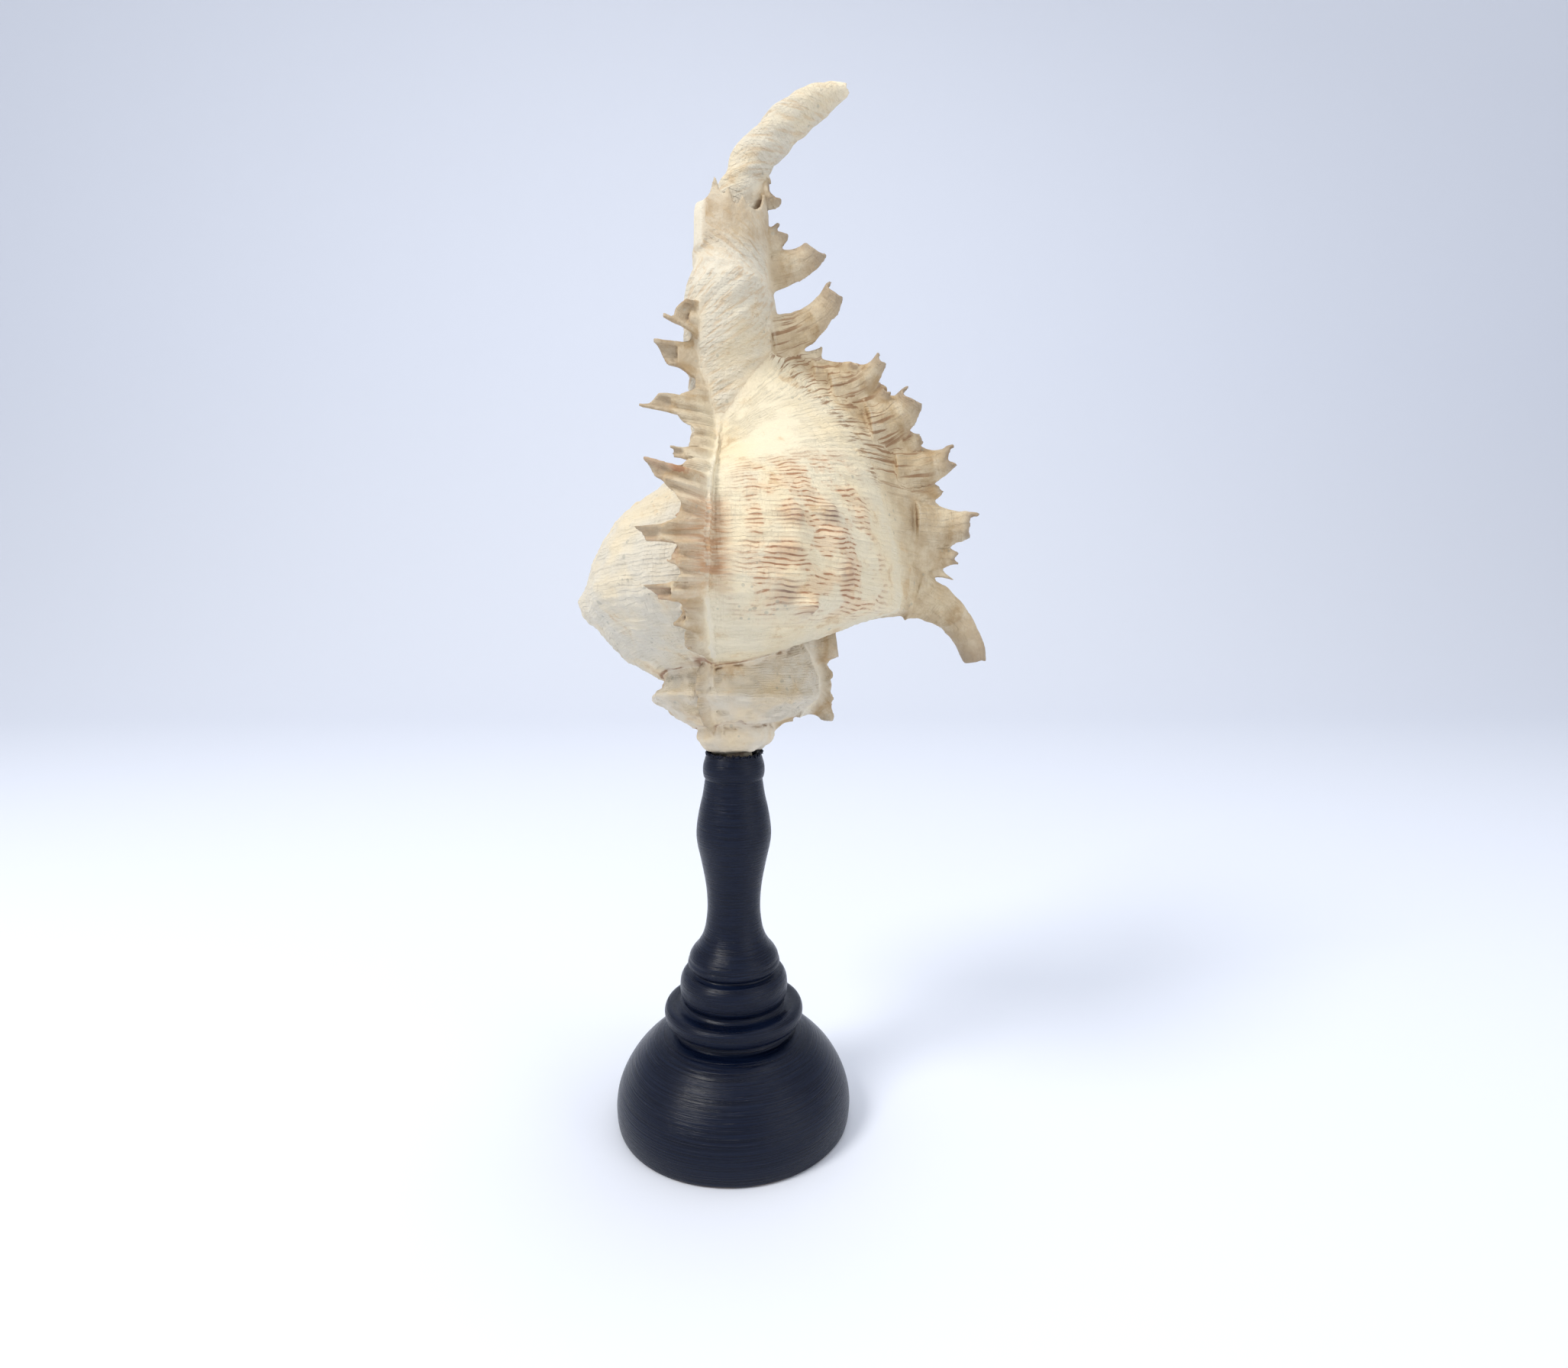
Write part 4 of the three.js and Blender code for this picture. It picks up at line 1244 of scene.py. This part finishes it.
# Coloured places on the coil: low, high and soft edge, first along it and then across the threads
DASHES_AREA = [[-73.0, -32.0, 7.0], [58.0, 106.0, 5.0]]
LEFT_RUST_AREA = [[-86.0, -76.5, 2.5], [74.0, 99.0, 5.0]]
LIP_STRIPES_AREA = [[-22.0, 8.0, 4.0], [14.0, 66.0, 5.0]]


def window(tree, value, low, high, soft):
    """One inside a span, falling to zero over a soft edge."""
    rise = tree.ramp(value, low - soft, low + soft)
    fall = tree.ramp(value, high - soft, high + soft, 1.0, 0.0)
    return tree.times(rise, fall)


def on_area(tree, along, thread, area):
    return tree.times(window(tree, thread, *area[1]), window(tree, along, *area[0]))


def canal_wrinkles(tree, along, thread):
    """The canal's wrinkles, which slant across it."""
    across = tree.plus(tree.times(along, 0.5), tree.times(thread, 0.7))
    slope = tree.add("ShaderNodeCombineXYZ", i0=across, i1=tree.times(along, 0.16), i2=0.0)
    return tree.noise(slope.outputs[0], 1.1, 4.0, 0.6)


def shell_ground(tree, along, thread, frond, canal, place):
    """Cream body, chalky older whorls and canal with painted shade in the valleys of its wrinkles, stained
    spire, tan fronds, and a tan lip flange that is partly painted shade.
    """
    cloud = tree.noise(place, 55.0, 3.0, 0.6)
    colour = tree.blend(tree.ramp(along, -84.0, -80.0, 1.0, 0.0), CREAM, CHALK)
    colour = tree.tint(colour, CHALK, canal, 0.8)
    # Painted shade: the valleys of the canal's wrinkles are tinted darker tan
    wrinkle_valley_shade = tree.ramp(canal_wrinkles(tree, along, thread), 0.36, 0.52, 0.5, 0.0)
    colour = tree.tint(colour, STAIN, canal, wrinkle_valley_shade)
    spire = tree.ramp(along, -300.0, -280.0, 1.0, 0.0)
    colour = tree.tint(colour, STAIN, spire, tree.ramp(cloud, 0.4, 0.65, 0.1, 0.4))
    colour = tree.tint(colour, WARM_CREAM, tree.ramp(cloud, 0.42, 0.66), 0.55)
    # The lip flange between the fronds' roots is tinted tan: partly its own colour, partly painted shade of
    # the hollows between the fronds
    lip = tree.times(tree.ramp(along, -16.0, -4.0), tree.minus(1.0, canal), 0.72)
    tan_and_root_shade = tree.math("MAXIMUM", lip, tree.ramp(frond, 0.05, 0.5, 0.0, 0.95))
    mottling = tree.ramp(tree.noise(place, 190.0, 5.0, 0.65), 0.32, 0.62, 0.5, 1.0)
    colour = tree.tint(colour, TAN, tan_and_root_shade, mottling)
    return tree.tint(colour, DARK_TIP, tree.ramp(frond, 0.66, 1.0), tree.ramp(along, -55.0, -30.0, 0.4, 0.75))


def shell_bands(tree, colour, spiral, along, thread, canal):
    """Red-brown dashes on the threads of the last whorl, and the brown striping of the lip."""
    warped = tree.plus(thread, tree.times(tree.noise(spiral, 0.12, 2.0), 3.5))
    lines = tree.ramp(tree.math("SINE", tree.times(warped, 4.4)), 0.1, 0.75)
    patches = tree.ramp(tree.noise(tree.stretch(spiral, (0.85, 0.8, 0.0)), 0.14, 4.0, 0.6), 0.44, 0.56)
    breaks = tree.ramp(tree.noise(tree.stretch(spiral, (0.5, 2.6, 0.0)), 0.45, 3.0), 0.42, 0.52)
    area = on_area(tree, along, thread, DASHES_AREA)
    crest = tree.attribute("crest")
    broken = tree.math("MAXIMUM", tree.times(patches, breaks), tree.times(crest, 0.8))
    # The crest mask also carries the painted shadow under the large knob
    colour = tree.tint(colour, RUST, tree.ramp(crest, 0.1, 0.9), 0.38)
    colour = tree.tint(colour, tree.blend(crest, RED_BROWN, CREST_BROWN), lines, broken, area, 0.96)
    colour = tree.tint(colour, ORANGE, patches, area, 0.3)
    uneven = tree.ramp(tree.noise(tree.stretch(spiral, (0.16, 1.0, 0.0)), 0.9, 3.0), 0.38, 0.62, 0.25, 0.8)
    colour = tree.tint(colour, LEFT_RUST, on_area(tree, along, thread, LEFT_RUST_AREA), uneven)
    stripes = use_group(tree, STREAKS, Vector=spiral, Stretch=(0.06, 1.0, 0.0), Scale=1.3, Amount=0.62)
    lip = tree.times(on_area(tree, along, thread, LIP_STRIPES_AREA), tree.minus(1.0, canal))
    return tree.tint(colour, BROWN, stripes, lip, 0.85), lines


def shell_wear(tree, colour, thread, place):
    """Stains, the brown suture partly darkened as painted shade, specks, painted shade in the crevices and
    frond hollows, and paler worn edges.
    """
    crevice = tree.attribute("crevice")
    stains = tree.ramp(tree.noise(place, 110.0, 5.0, 0.7), 0.58, 0.68, 0.0, 0.45)
    colour = tree.tint(colour, STAIN, stains)
    # The suture's reddish brown is laid only where the crevice mask is high: partly the shell's own colour,
    # partly painted shade in the crease
    colour = tree.tint(colour, RED_BROWN, tree.ramp(thread, 112.0, 130.0), tree.ramp(crevice, 0.2, 0.7), 0.8)
    specks = use_group(tree, SPECKS, Vector=place, Scale=420.0, Size=0.3, Patch=0.42)
    colour = tree.tint(colour, GREY_GREEN, specks, 0.4)
    # Painted shade: brown laid unevenly in the crevices and inside the frond troughs, where the surface is
    # closed in
    trough = tree.times(tree.attribute("hollow"), tree.ramp(crevice, 0.25, 0.8), 0.7)
    painted_shade = tree.math("MAXIMUM", tree.ramp(crevice, 0.5, 0.95), trough)
    shade_unevenness = tree.ramp(tree.noise(place, 240.0, 4.0, 0.65), 0.3, 0.65, 0.35, 1.0)
    colour = tree.tint(colour, CREVICE_SHADE_BROWN, painted_shade, shade_unevenness)
    return tree.tint(colour, WORN_PALE, tree.ramp(tree.attribute("edge"), 0.55, 1.0), 0.2)


def shell_height(tree, spiral, along, thread, lines, place, canal):
    """Fine threads, growth lines, the canal's slanting wrinkles and grain, level at the seams."""
    growth = tree.noise(tree.stretch(spiral, (1.0, 0.12, 0.3)), 1.3, 4.0, 0.6)
    threads = tree.noise(tree.stretch(spiral, (0.06, 1.0, 0.3)), 0.9, 3.0, 0.5)
    wrinkles = tree.times(tree.minus(canal_wrinkles(tree, along, thread), 0.5), canal, 1.2)
    level = tree.minus(1.0, tree.attribute("seam"))
    grain = tree.noise(place, 900.0, 3.0, 0.6)
    total = tree.plus(tree.times(growth, 0.5), tree.times(threads, 0.5))
    total = tree.plus(tree.plus(total, tree.times(lines, -0.12)), wrinkles)
    return tree.plus(tree.times(tree.minus(total, 0.55), level), tree.times(grain, 0.42))


def shell_material():
    material, tree, shader = new_material("grown_shell")
    place = tree.add("ShaderNodeTexCoord").outputs["Object"]
    spiral = tree.attribute("spiral", "Vector")
    along, thread, frond = tree.parts(spiral)
    canal = tree.attribute("canal")
    mouth = tree.attribute("mouth")
    colour = shell_ground(tree, along, thread, frond, canal, place)
    colour, lines = shell_bands(tree, colour, spiral, along, thread, canal)
    colour = shell_wear(tree, colour, thread, place)
    tree.put(shader.inputs["Base Color"], tree.tint(colour, PORCELAIN, tree.ramp(mouth, 0.3, 0.8)))
    dull = tree.ramp(tree.noise(place, 200.0, 3.0), 0.3, 0.7, 0.5, 0.72)
    tree.put(shader.inputs["Roughness"], tree.minus(dull, tree.ramp(mouth, 0.3, 1.0, 0.0, 0.3)))
    shader.inputs["Specular IOR Level"].default_value = 0.4
    height = shell_height(tree, spiral, along, thread, lines, place, canal)
    bump = tree.add("ShaderNodeBump", Strength=0.85, Distance=0.0011, Height=height)
    tree.put(shader.inputs["Normal"], bump.outputs[0])
    return material


def stand_material():
    """Near-black paint with brush marks round the stand, fine cracks and a worn edge at the foot."""
    material, tree, shader = new_material("black_paint")
    place = tree.add("ShaderNodeTexCoord").outputs["Object"]
    x, y, z = tree.parts(place)
    turn = tree.math("ARCTAN2", y, x)
    band = tree.add("ShaderNodeCombineXYZ", i0=turn, i1=tree.times(z, 1000.0), i2=0.0).outputs[0]
    brushed = tree.noise(tree.stretch(band, (0.9, 2.6, 1.0)), 1.0, 4.0, 0.6)
    cracks = use_group(tree, STREAKS, Vector=band, Stretch=(0.8, 5.0, 1.0), Scale=1.2, Amount=0.25)
    colour = tree.blend(tree.ramp(brushed, 0.35, 0.7), PAINT_BLACK, PAINT_NAVY)
    colour = tree.tint(colour, PAINT_DUST, cracks, 0.5)
    bare = tree.ramp(tree.noise(place, 160.0, 4.0), 0.35, 0.6)
    colour = tree.tint(colour, BARE_WOOD, tree.ramp(z, 0.0008, 0.0002), bare)
    tree.put(shader.inputs["Base Color"], colour)
    tree.put(shader.inputs["Roughness"], tree.ramp(brushed, 0.3, 0.75, 0.23, 0.37))
    shader.inputs["Specular IOR Level"].default_value = 0.22
    grain = tree.noise(place, 700.0, 3.0, 0.6)
    height = tree.plus(tree.plus(brushed, tree.times(cracks, 0.6)), tree.times(grain, 0.25))
    bump = tree.add("ShaderNodeBump", Strength=0.35, Distance=0.0006, Height=height)
    tree.put(shader.inputs["Normal"], bump.outputs[0])
    return material


def floor_material():
    material, _, shader = new_material("pale_floor")
    shader.inputs["Base Color"].default_value = rgb(0.80, 0.83, 0.90)
    shader.inputs["Roughness"].default_value = 0.9
    return material


def make_floor():
    """A pale sweep: level under the object, rising in a wide curve behind it."""
    profile = [[FLOOR_FRONT, 0.0], [FLOOR_BACK, 0.0]]
    for step in range(1, 25):
        angle = math.radians(90 * step / 24)
        profile.append([FLOOR_BACK + FLOOR_BEND * math.sin(angle), FLOOR_BEND * (1 - math.cos(angle))])
    profile.append([FLOOR_BACK + FLOOR_BEND, FLOOR_TOP])
    rows = np.array([[[x, y, z] for x in (-FLOOR_SIDE, FLOOR_SIDE)] for y, z in profile])
    floor = mesh_object("floor", rows.reshape(-1, 3) * MM, strips(len(profile), 2)[:, ::-1])
    floor.data.materials.append(floor_material())
    smooth_shaded(floor)


def make_camera():
    camera = bpy.data.cameras.new("camera")
    camera.lens = FOCAL_LENGTH
    camera.sensor_width = SENSOR_WIDTH
    camera.clip_start = 0.01
    camera.clip_end = 20.0
    obj = bpy.data.objects.new("camera", camera)
    bpy.context.scene.collection.objects.link(obj)
    pitch, yaw, roll = (math.radians(v) for v in (CAMERA_PITCH, CAMERA_YAW, CAMERA_ROLL))
    forward = Vector((math.sin(yaw) * math.cos(pitch), math.cos(yaw) * math.cos(pitch), math.sin(pitch)))
    right = Vector((math.cos(yaw), -math.sin(yaw), 0.0))
    up = right.cross(forward)
    turned_right = right * math.cos(roll) + up * math.sin(roll)
    turned_up = up * math.cos(roll) - right * math.sin(roll)
    axes = Matrix((turned_right, turned_up, -forward)).transposed()
    obj.matrix_world = Matrix.Translation(Vector(CAMERA_PLACE) * MM) @ axes.to_4x4()
    bpy.context.scene.camera = obj


def area_light(name, place, target, size, power, colour):
    light = bpy.data.lights.new(name, "AREA")
    light.shape = "DISK"
    light.size = size
    light.energy = power
    light.color = colour
    obj = bpy.data.objects.new(name, light)
    bpy.context.scene.collection.objects.link(obj)
    obj.location = place
    obj.rotation_mode = "QUATERNION"
    obj.rotation_quaternion = (Vector(target) - Vector(place)).to_track_quat("-Z", "Y")


def make_lights():
    for name, settings in LIGHTS.items():
        area_light(name, *settings)
    world = bpy.data.worlds.new("room")
    world.use_nodes = True
    background = world.node_tree.nodes["Background"]
    background.inputs["Color"].default_value = ROOM_COLOUR
    background.inputs["Strength"].default_value = ROOM_STRENGTH
    bpy.context.scene.world = world
    bpy.context.scene.view_settings.view_transform = "Standard"


make_camera()
make_lights()
make_floor()
shell = grow_shell()
shell.data.materials.append(shell_material())
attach(shell, "root")
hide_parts("murex_shell")
stand = turn_stand()
paint = stand_material()
stand.data.materials.append(paint)
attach(stand, "root")
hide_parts("turned_stand")
crumbs = scatter_crumbs(paint)
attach(crumbs, "root")
